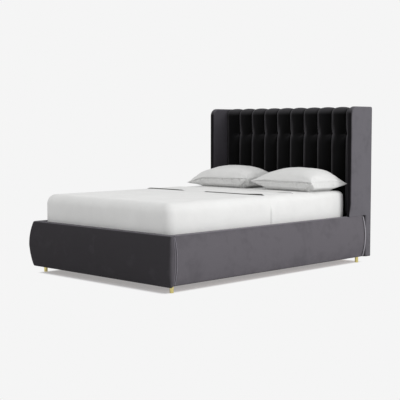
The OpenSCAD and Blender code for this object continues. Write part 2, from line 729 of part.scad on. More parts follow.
module tube_y(x0, x1, y0, y1) difference() {
    block([x0, y0, tube_z], [x1, y1, tube_top]);
    block([x0 + tube_wall, y0 - past, tube_z + tube_wall], [x1 - tube_wall, y1 + past, tube_top - tube_wall]);
}
module side_tube() from_foot() color(steel) tube_y(tube_x, dress_x, frame_y0, frame_y1);
module platform_tube_right() side_tube();
module platform_tube_left() left() side_tube();
module platform_end_tubes() from_foot() color(steel) for (y = [frame_y0, frame_y1 - tube_w]) difference() {
    block([-tube_x, y, tube_z], [tube_x, y + tube_w, tube_top]);
    block([-tube_x - past, y + tube_wall, tube_z + tube_wall],
        [tube_x + past, y + tube_w - tube_wall, tube_top - tube_wall]);
}
module platform_spine() from_foot() color(steel)
    tube_y(-spine_w / 2, spine_w / 2, frame_y0 + tube_w, frame_y1 - tube_w);
cross_y = [front_tip[0] - tube_w, (frame_y0 + front_tip[0]) / 2];
module cross_tubes() from_foot() color(steel) pair() for (y = cross_y) difference() {
    block([spine_w / 2, y, tube_top - cross_h], [tube_x, y + tube_w, tube_top]);
    block([spine_w / 2 - past, y + tube_wall, tube_top - cross_h + tube_wall],
        [tube_x + past, y + tube_w - tube_wall, tube_top - tube_wall]);
}
// Welded to the outer face of a side tube
module platform_bracket() from_foot() color(steel) across(bracket_x, plate_t) polygon([
    front_tip + bracket_rim * [-1, 0.5], front_tip + bracket_rim * [-0.8, -0.7],
    front_tip + bracket_rim * [0.5, -0.95], strut_head + bracket_rim * [0.7, -0.7],
    [rear_tip[0] + bracket_rim, tube_z + tube_wall], [rear_tip[0] + bracket_rim, tube_top - tube_wall],
    [front_tip[0] - bracket_rim, tube_top - tube_wall]
]);
module platform_bracket_right() platform_bracket();
module platform_bracket_left() left() platform_bracket();
module platform_pins() from_foot() color("silver") pair() {
    pin(front_tip, bracket_x + plate_t, front_arm_x, front_arm_x + arm_t, pin_d);
    pin(rear_tip, bracket_x + plate_t, rear_arm_x, rear_arm_x + arm_t, stud_d);
    // a washer covers the rear arm's wide hole
    washer_x = rear_arm_x + arm_t + pin_gap;
    bar_x(rear_tip, washer_x, washer_x + pin_head_t, stud_d + 2 * (tip_play + pin_rim));
    pin(strut_head, bracket_x, strut_x + eye_w / 2, strut_x - eye_w / 2, stud_d);
}
function slat_y(k) = frame_y0 + (k + 0.5) * slat_pitch;
cap_edge = 0.5;             // an outer cap ends this far inside its side tube's outer face
cap_drop = 1;               // the caps end this far below the slats' tops
slat_play = 1;              // a slat ends this far from the back of its cap
centre_grip = 7;            // a centre cap stands out this far from the spine
centre_cap = spine_w / 2 + centre_grip;
slat_in = cap_t / 2 + slat_play;
slat_out = dress_x - cap_edge - cap_t - slat_play;
module slat_row() from_foot() color("burlywood") for (k = [0:slats - 1])
    block([slat_in, slat_y(k) - slat_w / 2, slat_top - slat_t], [slat_out, slat_y(k) + slat_w / 2, slat_top]);
module slats_right() slat_row();
module slats_left() left() slat_row();
// An open-topped cap: the slat's end rests in it
module slat_cap(x0, x1, y) difference() {
    block([x0, y - slat_w / 2 - cap_t - seat, tube_top],
        [x1, y + slat_w / 2 + cap_t + seat, slat_top - cap_drop]);
    children();
}
module cap_room(x0, x1, y) block(
    [x0, y - slat_w / 2 - seat, tube_top + cap_t],
    [x1, y + slat_w / 2 + seat, slat_top + past]
);
module slat_caps() from_foot() color("black") for (y = [for (k = [0:slats - 1]) slat_y(k)]) {
    pair() slat_cap(dress_x - cap_grip - cap_t, dress_x - cap_edge, y)
        cap_room(dress_x - cap_grip - cap_t - past, slat_out + slat_play, y);
    slat_cap(-centre_cap, centre_cap, y) pair() cap_room(cap_t / 2, centre_cap + past, y);
}
module mattress_stops() from_foot() color(steel) pair() {
    y = mattress_end + fitted_out + seat + stop_d / 2;
    z0 = tube_z + tube_h / 2;
    z1 = mattress_z + stop_h;
    ends = [stop_x, stop_x + stop_w - stop_d];
    for (x = ends) {
        bar_y(x, z0, frame_y1, y, stop_d);
        translate([x, y, z0]) sphere(d = stop_d);
        translate([x, y, z0]) cylinder(h = z1 - z0, d = stop_d);
        translate([x, y, z1]) sphere(d = stop_d);
    }
    bar_x([y, z1], ends[0], ends[1], stop_d);
}
// A loop of webbing that hangs from the foot tube
module pull_strap() from_foot() color("black") across(-strap_w / 2, strap_w) {
    r = tube_w / 2 - tube_wall;
    translate([frame_y0 + tube_w / 2, 0]) difference() {
        union() {
            translate([-r, tube_z - strap_l + r]) square([2 * r, strap_l - r]);
            translate([0, tube_z - strap_l + r]) circle(r = r);
        }
        translate([-r + strap_t, tube_z - strap_l + r]) square([2 * (r - strap_t), strap_l - r - strap_t]);
        translate([0, tube_z - strap_l + r]) circle(r = r - strap_t);
    }
}

// Mattress and bedding

// A block with round corners and a round top edge, larger than the mattress by grow on each side
module soft_block(grow, low) {
    r = mattress_r + grow;
    top = mattress_z + mattress_h + grow - r;
    hull() for (x = [-1, 1], y = [mattress_y - grow + r, mattress_end + grow - r])
        translate([x * (mattress_w / 2 + grow - r), y, 0]) {
            translate([0, 0, top]) sphere(r = r, $fn = 28);
            translate([0, 0, low]) cylinder(h = 1, r = r, $fn = 28);
        }
}
module slice_y(y0, y1) block([-mattress_w, y0, 0], [mattress_w, y1, head_h]);
module mattress() from_foot() color(linen) soft_block(0, mattress_z);
module fitted_sheet() from_foot() color(linen) difference() {
    soft_block(fitted_out, mattress_z);
    soft_block(seat, mattress_z - past);
}
module top_sheet() from_foot() color(linen) difference() {
    union() {
        intersection() {
            soft_block(dressed, mattress_z);
            slice_y(0, fold_y);
        }
        intersection() {
            soft_block(dressed + band_t, mattress_z);
            slice_y(fold_y - band_l, fold_y);
        }
    }
    soft_block(fitted_out + seat, mattress_z - past);
}
// A stuffed pillow: a high crown, sides drawn in between the corners, and a flat underside
pillow_rows = 22;
pillow_cols = 14;
function crown(u, v) = pow((1 - pow(abs(u), 2.4)) * (1 - pow(abs(v), 2.2)), 0.62);
function pillow_plan(u, v) = [
    pillow_w / 2 * u * (1 - 0.07 * (1 - v * v)),
    pillow_l / 2 * v * (1 - 0.09 * (1 - u * u))
];
seam_half = 2;              // half the thickness of a pillow's sewn edge
function pillow_grid(top) = [for (i = [0:pillow_rows]) let (u = -cos(180 * i / pillow_rows))
    [for (j = [0:pillow_cols]) let (v = -cos(180 * j / pillow_cols), p = pillow_plan(u, v), c = crown(u, v))
        [p[0], p[1], top
            ? pillow_edge + seam_half + (pillow_h - pillow_edge - seam_half) * c
            : (pillow_edge - seam_half) * max(0, 1 - 2.4 * c)]]];
module pillow(x, turn) from_foot() color(linen)
    translate([x, mattress_end - pillow_back, sheet_z + seat]) rotate([0, 0, turn])
        padded_skin(pillow_grid(true), pillow_grid(false));
module pillow_left() pillow(-pillow_w / 2 - pillow_gap, 0);
// The right pillow's turn brings its front inner corner to the bed's middle
module pillow_right() pillow(pillow_w / 2 * cos(pillow_turn) + pillow_l / 2 * sin(pillow_turn), -pillow_turn);

headboard_panel();
headboard_battens();
headboard_back_cover();
headboard_padding();
headboard_buttons();
wing_cores();
wing_cover_left();
wing_cover_right();
side_rail_board_left();
side_rail_board_right();
rail_foam();
side_rail_cover_left();
side_rail_cover_right();
footboard_board();
footboard_cover();
corner_welts();
corner_blocks();
frame_bolts();
leg_plates();
leg_front_left();
leg_front_right();
leg_rear_left();
leg_rear_right();
centre_legs();
centre_beam();
floor_ledges();
floor_panel_foot();
floor_panel_head();
rest_buffers();
base_plate_left();
base_plate_right();
base_plate_bolts();
base_plate_pins();
front_arm_left();
front_arm_right();
rear_arm_left();
rear_arm_right();
strut_cylinder_left();
strut_cylinder_right();
strut_rod_left();
strut_rod_right();
platform_tube_left();
platform_tube_right();
platform_end_tubes();
platform_spine();
cross_tubes();
platform_bracket_left();
platform_bracket_right();
platform_pins();
slats_left();
slats_right();
slat_caps();
mattress_stops();
pull_strap();
mattress();
fitted_sheet();
top_sheet();
pillow_left();
pillow_right();
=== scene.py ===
import bpy
import json
import math
from mathutils import Matrix, Vector, noise


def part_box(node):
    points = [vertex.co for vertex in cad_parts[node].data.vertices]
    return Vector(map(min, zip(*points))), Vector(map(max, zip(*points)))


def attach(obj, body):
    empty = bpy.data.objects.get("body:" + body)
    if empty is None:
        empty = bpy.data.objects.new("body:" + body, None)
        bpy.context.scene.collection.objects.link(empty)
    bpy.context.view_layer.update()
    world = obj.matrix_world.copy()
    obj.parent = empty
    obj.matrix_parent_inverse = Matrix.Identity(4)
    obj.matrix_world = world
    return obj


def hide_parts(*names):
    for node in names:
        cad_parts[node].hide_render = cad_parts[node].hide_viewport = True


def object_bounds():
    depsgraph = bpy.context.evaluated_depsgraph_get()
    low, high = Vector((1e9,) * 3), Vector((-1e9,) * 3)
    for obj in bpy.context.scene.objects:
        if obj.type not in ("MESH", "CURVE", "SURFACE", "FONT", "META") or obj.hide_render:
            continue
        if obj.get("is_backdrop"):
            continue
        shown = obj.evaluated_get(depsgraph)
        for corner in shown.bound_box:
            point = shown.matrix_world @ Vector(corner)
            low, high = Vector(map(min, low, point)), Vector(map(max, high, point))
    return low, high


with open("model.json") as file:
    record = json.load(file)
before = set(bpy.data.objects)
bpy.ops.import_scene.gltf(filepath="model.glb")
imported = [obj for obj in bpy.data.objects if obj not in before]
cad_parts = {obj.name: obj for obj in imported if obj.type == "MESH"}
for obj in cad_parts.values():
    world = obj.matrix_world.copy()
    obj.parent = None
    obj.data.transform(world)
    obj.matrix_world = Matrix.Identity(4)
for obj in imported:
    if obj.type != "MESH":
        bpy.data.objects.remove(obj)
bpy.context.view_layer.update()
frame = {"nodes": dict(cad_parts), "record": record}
node = frame["nodes"]

# The camera: off the foot's right corner, about as high as the headboard's buttons, with a long lens.
bpy.ops.object.select_all(action="DESELECT")
bpy.ops.object.camera_add(
    location=(5.4055, -5.5473, 1.1085), rotation=(math.radians(85.802), 0, math.radians(44.585)))
camera = bpy.context.object
camera.data.lens = 87.23
camera.data.sensor_width = 36
bpy.context.scene.camera = camera
bpy.context.scene.view_settings.view_transform = "Standard"


# The studio: a pale floor that fades into a pale background, one large soft lamp on the bed's right,
# a weaker one above its foot and an even light from all round.
BACKGROUND = "F5F5F5"
EVEN_LIGHT = 0.62
PATCH = (0.675, 1.105, 1)   # half the size of the patch of floor that is drawn, under the bed
PATCH_MID = (0, 0.01, 0)
FADE = 0.06                 # the width over which it fades into the background


def linear(code):
    """The linear colour of an sRGB hex value."""
    channels = [int(code[k:k + 2], 16) / 255 for k in (0, 2, 4)]
    return [c / 12.92 if c <= 0.04045 else ((c + 0.055) / 1.055) ** 2.4 for c in channels] + [1]


def feed(material, made, inputs):
    """Sets a node's inputs, or links them to the socket, or the node's first socket, that is given."""
    for key, value in inputs.items():
        if isinstance(value, bpy.types.Node):
            value = value.outputs[0]
        if isinstance(value, bpy.types.NodeSocket):
            material.node_tree.links.new(value, made.inputs[key])
        else:
            made.inputs[key].default_value = value


def add(material, kind, inputs={}, stops=(), **settings):
    """A new node in a material or world, with its settings and inputs, and a colour ramp's stops."""
    made = material.node_tree.nodes.new("ShaderNode" + kind)
    for key, value in settings.items():
        setattr(made, key, value)
    feed(material, made, inputs)
    if stops:
        elements = made.color_ramp.elements
        while len(elements) < len(stops):
            elements.new(0.5)
        for element, (place, code) in zip(elements, stops):
            element.position = place
            element.color = linear(code)
    return made


world = bpy.data.worlds.new("studio")
bpy.context.scene.world = world
world.use_nodes = True
world.node_tree.nodes.clear()
rays = add(world, "LightPath").outputs
seen = add(world, "Math", {0: rays["Is Camera Ray"], 1: rays["Is Glossy Ray"]}, operation="MAXIMUM")
seen = add(world, "Math", {0: seen, 1: rays["Is Transmission Ray"]}, operation="MAXIMUM")
even = add(world, "Background", {"Color": (1, 1, 1, 1), "Strength": EVEN_LIGHT})
backdrop = add(world, "Background", {"Color": linear(BACKGROUND), "Strength": 1.0})
either = add(world, "MixShader", {0: seen, 1: even, 2: backdrop})
add(world, "OutputWorld", {"Surface": either})

for place, aim, size, power in (
        ((8.5, 2.7, 2.8), (0, 0.2, 0.4), 3.4, 350),
        ((0.3, -1.6, 5.0), (0, -0.6, 0.5), 3.0, 60)):
    turn = (Vector(aim) - Vector(place)).to_track_quat("-Z", "Y").to_euler()
    bpy.ops.object.light_add(type="AREA", location=place, rotation=turn)
    lamp = bpy.context.object
    lamp.data.size = size
    lamp.data.energy = power

bpy.ops.mesh.primitive_circle_add(vertices=96, radius=14, fill_type="NGON")
floor = bpy.context.object
floor.name = "studio_floor"
paint = bpy.data.materials.new("matt_white_studio_floor")
paint.use_nodes = True
paint.node_tree.nodes.clear()
where = add(paint, "TexCoord").outputs["Object"]
# the floor is drawn only under the bed, and at its edges it fades into the background
apart, none = where, (0, 0, 0)
for operation, by in (("SUBTRACT", PATCH_MID), ("ABSOLUTE", none), ("SUBTRACT", PATCH), ("MAXIMUM", none)):
    apart = add(paint, "VectorMath", {0: apart, 1: by}, operation=operation)
away = add(paint, "VectorMath", {0: apart}, operation="LENGTH").outputs["Value"]
far = add(paint, "MapRange", {"Value": away, "From Max": FADE}, interpolation_type="SMOOTHSTEP")
rays = add(paint, "LightPath").outputs
shown = add(paint, "Math", {0: rays["Is Camera Ray"], 1: rays["Is Glossy Ray"]}, operation="MAXIMUM")
fade = add(paint, "Math", {0: far, 1: shown}, operation="MULTIPLY")
matt = add(paint, "BsdfDiffuse", {"Color": linear("EDEDED")})
# seen directly it is duller and glows a little, which keeps the bed's shadow pale
dull = add(paint, "BsdfDiffuse", {"Color": linear("D2CFD4")})
lift = add(paint, "Emission", {"Color": (1, 1, 1, 1), "Strength": 0.31})
near = add(paint, "AddShader", {0: dull, 1: lift})
kept = add(paint, "MixShader", {0: shown, 1: matt, 2: near})
plain = add(paint, "Emission", {"Color": linear(BACKGROUND), "Strength": 1.0})
mixed = add(paint, "MixShader", {0: fade, 1: kept, 2: plain})
add(paint, "OutputMaterial", {"Surface": mixed})
floor.data.materials.append(paint)
floor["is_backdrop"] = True

# Side rails: a board with shaped foam on its outer side, wrapped in velvet that bows outwards, is turned
# under the rail and over its head end, and is stapled inside.
BOW, EDGE_R = 0.029, 0.015


def corners(name):
    """A CAD node's lowest and highest corners, to a tenth of a millimetre."""
    return [[round(value, 4) for value in corner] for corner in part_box(name)]


(RAIL_IN, _, RAIL_Z), (widest, HEAD_Y, RAIL_TOP) = corners("side_rail_cover_right")
RAIL_OUT = widest - BOW     # a rail's top outer edge, across the bed
FOOT = corners("footboard_cover")[0][1] + BOW   # the footboard's top outer edge, along the bed
FOOT_T = 0.044              # the footboard's thickness at its top edge
WING_FRONT = corners("wing_cover_right")[0][1]
MID_Z = (RAIL_Z + RAIL_TOP) / 2
BOW_R = ((RAIL_TOP - RAIL_Z) ** 2 / 4 + BOW ** 2) / (2 * BOW)
SEAM_Y = FOOT + 0.028       # the seam between the footboard's cover and a rail's
END_R = 0.004               # how far a rail's cover is rounded where it turns over the head end
VELVET_T = 0.0018
WELD = 0.00002              # points closer than this are merged


def cut_away(piece, test):
    """Deletes the faces of a piece that a test picks."""
    bpy.context.tool_settings.mesh_select_mode = (False, False, True)
    mesh = piece.data
    mesh.vertices.foreach_set("select", [False] * len(mesh.vertices))
    mesh.edges.foreach_set("select", [False] * len(mesh.edges))
    mesh.polygons.foreach_set("select", [bool(test(face)) for face in mesh.polygons])
    bpy.ops.object.mode_set(mode="EDIT")
    bpy.ops.mesh.delete(type="FACE")
    bpy.ops.object.mode_set(mode="OBJECT")


def opened(kind, action):
    """Opens the active piece's mesh for editing, with all of it selected or nothing."""
    bpy.ops.object.mode_set(mode="EDIT")
    bpy.ops.mesh.select_mode(type=kind)
    bpy.ops.mesh.select_all(action=action)


def closed():
    """Turns the open mesh's faces outwards and closes it."""
    bpy.ops.mesh.select_all(action="SELECT")
    bpy.ops.mesh.normals_make_consistent(inside=False)
    bpy.ops.object.mode_set(mode="OBJECT")


def skin(name, columns, rows, place, layers=0, missing=None):
    """A grid of faces, drawn out into layers, whose vertices go where place(u, v, layer) puts them."""
    bpy.ops.object.select_all(action="DESELECT")
    bpy.ops.mesh.primitive_grid_add(x_subdivisions=columns, y_subdivisions=rows, size=2)
    made = bpy.context.object
    made.name = made.data.name = name
    if missing:
        cut_away(made, lambda face: missing((face.center.x + 1) / 2, (face.center.y + 1) / 2))
    opened("VERT", "SELECT")
    for _ in range(layers):
        bpy.ops.mesh.extrude_region_move(TRANSFORM_OT_translate={"value": (0, 0, 1)})
    bpy.ops.object.mode_set(mode="OBJECT")
    for vertex in made.data.vertices:
        x, y, z = vertex.co
        vertex.co = place(
            round((x + 1) / 2 * columns) / columns, round((y + 1) / 2 * rows) / rows, round(z))
    opened("VERT", "SELECT")
    bpy.ops.mesh.remove_doubles(threshold=WELD)
    closed()
    bpy.ops.object.shade_smooth()
    return made


def only(piece):
    """Selects one piece and makes it the active one."""
    bpy.ops.object.select_all(action="DESELECT")
    piece.select_set(True)
    bpy.context.view_layer.objects.active = piece


def shaped(piece, kind, **settings):
    """Adds a modifier to a piece and applies it."""
    only(piece)
    made = piece.modifiers.new(kind.lower(), kind)
    for key, value in settings.items():
        setattr(made, key, value)
    bpy.ops.object.modifier_apply(modifier=made.name)


def wave(x, y, z, size, seed=0):
    """Smooth noise from about -1 to 1 with bumps of the given size."""
    return noise.noise(Vector((x, y, z)) / size + Vector((seed, 2 * seed, 3 * seed)))


def smooth(t):
    """Rises from 0 to 1 in an S-shaped curve as t does."""
    t = min(max(t, 0), 1)
    return t * t * (3 - 2 * t)


EDGE_STEPS, SIDE_STEPS = 7, 28      # steps round a rail's edge, and down its bow
BOW_FALL = (RAIL_TOP - RAIL_Z) / 2 - EDGE_R
BOW_ANGLE = math.asin(BOW_FALL / (BOW_R - EDGE_R))  # from the bow's middle to where its edge is rounded


def bowed_side():
    """The outer side of a rail as (distance outside its top edge, height), from the top to the underside."""
    centre = BOW - BOW_R
    edge = centre + math.sqrt((BOW_R - EDGE_R) ** 2 - BOW_FALL ** 2)
    points = []
    for k in range(EDGE_STEPS + 1):
        a = math.pi / 2 + (BOW_ANGLE - math.pi / 2) * k / EDGE_STEPS
        points.append((edge + EDGE_R * math.cos(a), MID_Z + BOW_FALL + EDGE_R * math.sin(a)))
    for k in range(1, SIDE_STEPS):
        a = BOW_ANGLE - 2 * BOW_ANGLE * k / SIDE_STEPS
        points.append((centre + BOW_R * math.cos(a), MID_Z + BOW_R * math.sin(a)))
    for k in range(EDGE_STEPS + 1):
        a = -BOW_ANGLE + (BOW_ANGLE - math.pi / 2) * k / EDGE_STEPS
        points.append((edge + EDGE_R * math.cos(a), MID_Z - BOW_FALL + EDGE_R * math.sin(a)))
    return points


SIDE = bowed_side()
RAIL_T = RAIL_OUT - RAIL_IN


def flats(depth):
    """A cover's rows over the top and under the bottom of a board, from so deep behind its outer edge."""
    over = [(-depth + (SIDE[0][0] + depth) * k / 4, RAIL_TOP) for k in range(4)]
    under = [(SIDE[-1][0] + (-depth - SIDE[-1][0]) * k / 4, RAIL_Z) for k in range(1, 5)]
    return over, under


top_flat, low_flat = flats(RAIL_T)
inner_flat = [(-RAIL_T, RAIL_Z + (RAIL_TOP - RAIL_Z) * k / 12) for k in range(1, 13)]
AROUND = top_flat + SIDE + low_flat + inner_flat
ALONG = 140                 # steps along a side rail
TUCK = 6                    # more steps over its head end, where the cover is turned in
ROUNDED = 4, 2              # the steps before and past the end over which its edge is rounded
TUCK_STEP = 0.0045          # how far each step of the tuck runs in
FADE_IN = 0.03              # how far behind a board's top edge the padding's swells fade out
UNDER_WING = 0.0104         # how far down the wing's padding fills out the rail's top edge
FILLED = 0.0035, 0.0016     # how far out the edge is filled, and how much less at its top
DRAWN_BACK = 0.015


def rail_point(u, v, _):
    out, z = AROUND[round(v * (len(AROUND) - 1))]
    step = round(u * (ALONG + TUCK))
    y = SEAM_Y + (HEAD_Y - SEAM_Y) * min(step / ALONG, 1)
    if z > RAIL_TOP - UNDER_WING and out > SIDE[0][0] - 0.001:
        # under the wing the edge is filled out, so that wing and rail are one face
        under = smooth((y - WING_FRONT + 0.002) / 0.012)
        out += under * (FILLED[0] - FILLED[1] * (z - RAIL_TOP + UNDER_WING) / UNDER_WING - out)
    soft = smooth((out + FADE_IN) / FADE_IN)
    swell = 0.0016 * wave(0, y, z, 0.11, 3) + 0.0008 * wave(0, y, z, 0.035, 5)
    sag = 0.0012 * abs(wave(0, y, 0, 0.16, 8)) * smooth((RAIL_TOP - z) / 0.05 - 0.1)
    out += soft * (swell - sag - 0.0006)
    if z > RAIL_TOP - 0.002:
        z -= 0.0008 * (1 + wave(0, y, 0, 0.09, 6)) * smooth((out + 0.05) / 0.02)
    before, past = ROUNDED
    if step > ALONG - before:
        # the end draws back from the wing's long leg at its top and bottom, and leaves a dark gap there
        drawn = DRAWN_BACK * soft * min(abs(z - MID_Z) / (MID_Z - RAIL_Z), 1) ** 3
        # the end's edge is rounded, then the cover runs in over the end
        turn = min((step - ALONG + before) / (before + past), 1) * math.pi / 2
        inset = END_R * (1 - math.cos(turn))
        y = HEAD_Y - drawn - END_R + END_R * math.sin(turn)
        inset += max(0, step - ALONG - past) * TUCK_STEP
        if soft > 0:
            out = (out + RAIL_T / 2) * (1 - inset / (RAIL_T / 2 + 0.010) * 0.8) - RAIL_T / 2
        z = MID_Z + (z - MID_Z) * (1 - inset / (MID_Z - RAIL_Z))
    return RAIL_OUT + out, y, z


def copied(piece, name, matrix):
    """A copy of a piece with its own mesh, moved by a matrix."""
    copy = piece.copy()
    copy.data = piece.data.copy()
    copy.name = copy.data.name = name
    bpy.context.collection.objects.link(copy)
    copy.data.transform(matrix)
    return copy


def mirrored(piece, name):
    """A copy of a piece on the bed's other side."""
    copy = copied(piece, name, Matrix.Scale(-1, 4, Vector((1, 0, 0))))
    copy.data.flip_normals()
    return copy


rail_right = skin("rail_cover_right", ALONG + TUCK, len(AROUND) - 1, rail_point)
rail_left = mirrored(rail_right, "rail_cover_left")


def finish(name):
    """A new material with its shader, and the place of a point on its piece in metres."""
    made = bpy.data.materials.new(name)
    made.use_nodes = True
    return made, made.node_tree.nodes["Principled BSDF"], add(made, "TexCoord").outputs["Object"]


# Velvet: cut polyester pile on a knitted backing, clouded where hands have brushed it. Its colour holds
# painted
# shade and light: a face that looks along the bed is painted dark, and one that looks across it a soft grey.
# Its marks in mm: clouds from brushing, from hands, soft dents, and tufts, drawn at 1.4 mm to show.
CLOUDS, HANDS, DENTS, TUFTS = 166.7, 52.63, 35.71, 1.4286


def velvet(name, stops, crown=None, rise=0.5, cloud=0.5, sheen=0.35, painted_rims_left=False):
    """Stops give the pile's colour, painted shade and light, from faces that look inwards, -1, to faces that
    look outwards, 1.
    """
    made, shader, where = finish(name)
    facing = add(made, "SeparateXYZ", {0: add(made, "NewGeometry").outputs["Normal"]}).outputs
    outwards = -1.0
    if not painted_rims_left:
        side = add(made, "SeparateXYZ", {0: where}).outputs["X"]
        outwards = add(made, "Math", {0: side}, operation="SIGN")
    # painted shade and light: faces that look outwards, and on the headboard faces that look left, are
    # painted paler
    facing_shade = add(made, "Math", {0: facing["X"], 1: outwards}, operation="MULTIPLY")
    brushed = add(made, "TexNoise", {"Vector": where, "Scale": 1000 / CLOUDS})
    hands = add(made, "TexNoise", {"Vector": where, "Scale": 1000 / HANDS, "Detail": 3.0, "Roughness": 0.55})
    both = add(made, "MixRGB", {"Fac": 0.4, "Color1": brushed.outputs["Fac"], "Color2": hands.outputs["Fac"]})
    pushed = add(made, "MapRange", {
        "Value": both, "From Min": 0.36, "From Max": 0.64,
        "To Min": -0.28 * cloud, "To Max": 0.28 * cloud})
    shade_and_clouds = add(made, "Math", {0: facing_shade, 1: pushed}, operation="ADD")
    shade_and_clouds = add(made, "MapRange", {"Value": shade_and_clouds, "From Min": -1.0})
    stops = [((place + 1) / 2, code) for place, code in stops]
    colour = add(made, "ValToRGB", {"Fac": shade_and_clouds}, stops)
    if crown:
        # painted highlight: the pile of a face that looks up is painted paler, as if lit from above
        painted_top_light = add(made, "MapRange", {
            "Value": facing["Z"], "From Min": rise, "From Max": 1.05, "To Max": 0.75})
        colour = add(made, "MixRGB", {"Fac": painted_top_light, "Color1": colour, "Color2": linear(crown)})
    tufts = add(made, "TexNoise", {"Vector": where, "Scale": 1000 / TUFTS})
    dents = add(made, "TexNoise", {"Vector": where, "Scale": 1000 / DENTS, "Detail": 3.0})
    fine = add(made, "Bump", {"Height": tufts.outputs["Fac"], "Strength": 0.25, "Distance": 0.0006})
    bump = add(made, "Bump", {
        "Height": dents.outputs["Fac"], "Strength": 0.2, "Distance": 0.0015, "Normal": fine})
    feed(made, shader, {
        "Base Color": colour, "Normal": bump, "Roughness": 0.92, "Specular IOR Level": 0.08,
        "Sheen Weight": sheen, "Sheen Roughness": 0.32, "Sheen Tint": linear("9C989E")})
    return made


# painted shade and highlight: the rails' faces that look along the bed are painted darker than their sides,
# and their top paler
rail_velvet = velvet(
    "grey_velvet_side_rails", [(0.35, "333136"), (1, "625F64")], crown="7F7C82", cloud=0.35)
for rail, side in ((rail_right, "right"), (rail_left, "left")):
    shaped(rail, "SOLIDIFY", thickness=VELVET_T, offset=-1)
    rail.data.materials.append(rail_velvet)
    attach(rail, "bed_base")
    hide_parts("side_rail_cover_" + side, "rail_foam")

# Footboard: its cover is one length of velvet over foam, drawn round the two front corners to a seam on
# each side, turned over the top and under the bottom, and stapled behind.
TURN_IN = 0.024
CORNER_R = 0.022
FRONT, CORNER, RETURN = 110, 8, 8   # steps along the front, round a corner and back to the seam
FOOT_DROP = 0.0115                  # how far the padding hangs below the front rail's board
foot_flat, foot_low = flats(FOOT_T)
behind = [(-FOOT_T, RAIL_TOP - TURN_IN * k / 4) for k in range(4, 0, -1)]
below = [(-FOOT_T, RAIL_Z + TURN_IN * k / 4) for k in range(1, 5)]
FOOT_ROWS = behind + foot_flat + SIDE + foot_low + below


def footboard_point(u, v, _):
    out, z = FOOT_ROWS[round(v * (len(FOOT_ROWS) - 1))]
    half = FRONT // 2 + CORNER + RETURN
    step = round(u * 2 * half) - half
    side, step = (1 if step >= 0 else -1), abs(step)
    deep = SEAM_Y - FOOT + out
    r = min(CORNER_R, 0.45 * deep)
    if step <= FRONT // 2:
        x, y = (RAIL_OUT + out - r) * step / (FRONT // 2), -out
    elif step <= FRONT // 2 + CORNER:
        a = math.pi / 2 * (step - FRONT // 2) / CORNER
        x, y = RAIL_OUT + out - r + r * math.sin(a), -out + r - r * math.cos(a)
    else:
        t = (step - FRONT // 2 - CORNER) / RETURN
        x, y = RAIL_OUT + out, -out + r + (deep - r) * t
    x *= side
    soft = smooth((out + FADE_IN) / FADE_IN) * smooth((SEAM_Y - FOOT - y) / 0.012)
    swell = 0.0013 * wave(x, 0, z, 0.10, 11) + 0.0006 * wave(x, 0, z, 0.03, 12) - 0.0008
    outwards = Vector((0, -1, 0))
    if step > FRONT // 2:
        outwards = Vector((x - side * (RAIL_OUT - 0.02), y - FOOT_T, 0)).normalized()
    on_top = smooth((z - RAIL_TOP + 0.004) / 0.004) * smooth((out + FOOT_T) / 0.02)
    drop = 0.001 * (1 + wave(x, 0, 0, 0.07, 13)) * on_top
    drop += FOOT_DROP * smooth((MID_Z - z) / 0.14) * (1 - smooth(y / (SEAM_Y - FOOT)))
    return x + outwards.x * swell * soft, FOOT + y + outwards.y * swell * soft, z - drop


footboard = skin("footboard_cover_piece", FRONT + 2 * (CORNER + RETURN), len(FOOT_ROWS) - 1, footboard_point)
shaped(footboard, "SOLIDIFY", thickness=VELVET_T, offset=-1)
# painted shade: the footboard's velvet is a darker copy of the rails' velvet, with its top painted paler as a
# highlight
footboard.data.materials.append(velvet(
    "grey_velvet_footboard", [(0.05, "383639"), (0.5, "48464A"), (1, "575459")], crown="6C6A6F"))
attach(footboard, "bed_base")
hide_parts("footboard_cover", "rail_foam")

# Welts: a cord in a bias strip of velvet, sewn into the seam between a side rail and the footboard, with
# the strip's edge stitched down before it, and a thicker cord round each rail's head end. The strip is
# stretched over the cord, and its velvet is painted paler than the rails', as a highlight.
def joined(pieces, name):
    """Several pieces made into one."""
    only(pieces[0])
    for piece in pieces:
        piece.select_set(True)
    bpy.ops.object.join()
    made = bpy.context.object
    made.name = made.data.name = name
    return made


welts = []
# painted highlight: the welts' velvet is painted paler than the rails', and the head welts' palest
corner_velvet = velvet("velvet_welt_painted_highlight", [(0, "6E6B70"), (1, "85828A")], sheen=0.6)
head_velvet = velvet("velvet_head_welt_painted_highlight", [(0, "7C797F"), (1, "9A979D")], sheen=0.6)
# each welt's radius, its place and bend along the bed, how far it stands out, its width and its velvet
for thick, start, bend, proud, wide, pile in (
        (0.0034, SEAM_Y, 0, 0.4, 1, corner_velvet),
        (0.0020, SEAM_Y - 0.006, 0.011, 0.4, 1, corner_velvet),
        (0.0046, HEAD_Y - 0.0235, 0, 0.9, 1.3, head_velvet)):
    def welt_point(u, v, _):
        a = BOW_ANGLE * (1 - 2 * u) * 1.02
        b = 2 * math.pi * v
        end = min(1, (1 - abs(2 * u - 1)) * 60 + 0.25)
        r = BOW_R + proud * thick + thick * end * math.cos(b) * (1 + 0.05 * math.sin(260 * a))
        y = start - bend * (1 - (2 * u - 1) ** 4) + thick * end * math.sin(b) * wide
        return RAIL_OUT + BOW - BOW_R + r * math.cos(a), y, MID_Z + r * math.sin(a)

    welts.append(skin("welt_right", 120, 12, welt_point))
    welts[-1].data.materials.append(pile)
    welts.append(mirrored(welts[-1], "welt_left"))
welts = joined(welts, "rail_end_welts")
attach(welts, "bed_base")
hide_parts("corner_welts")

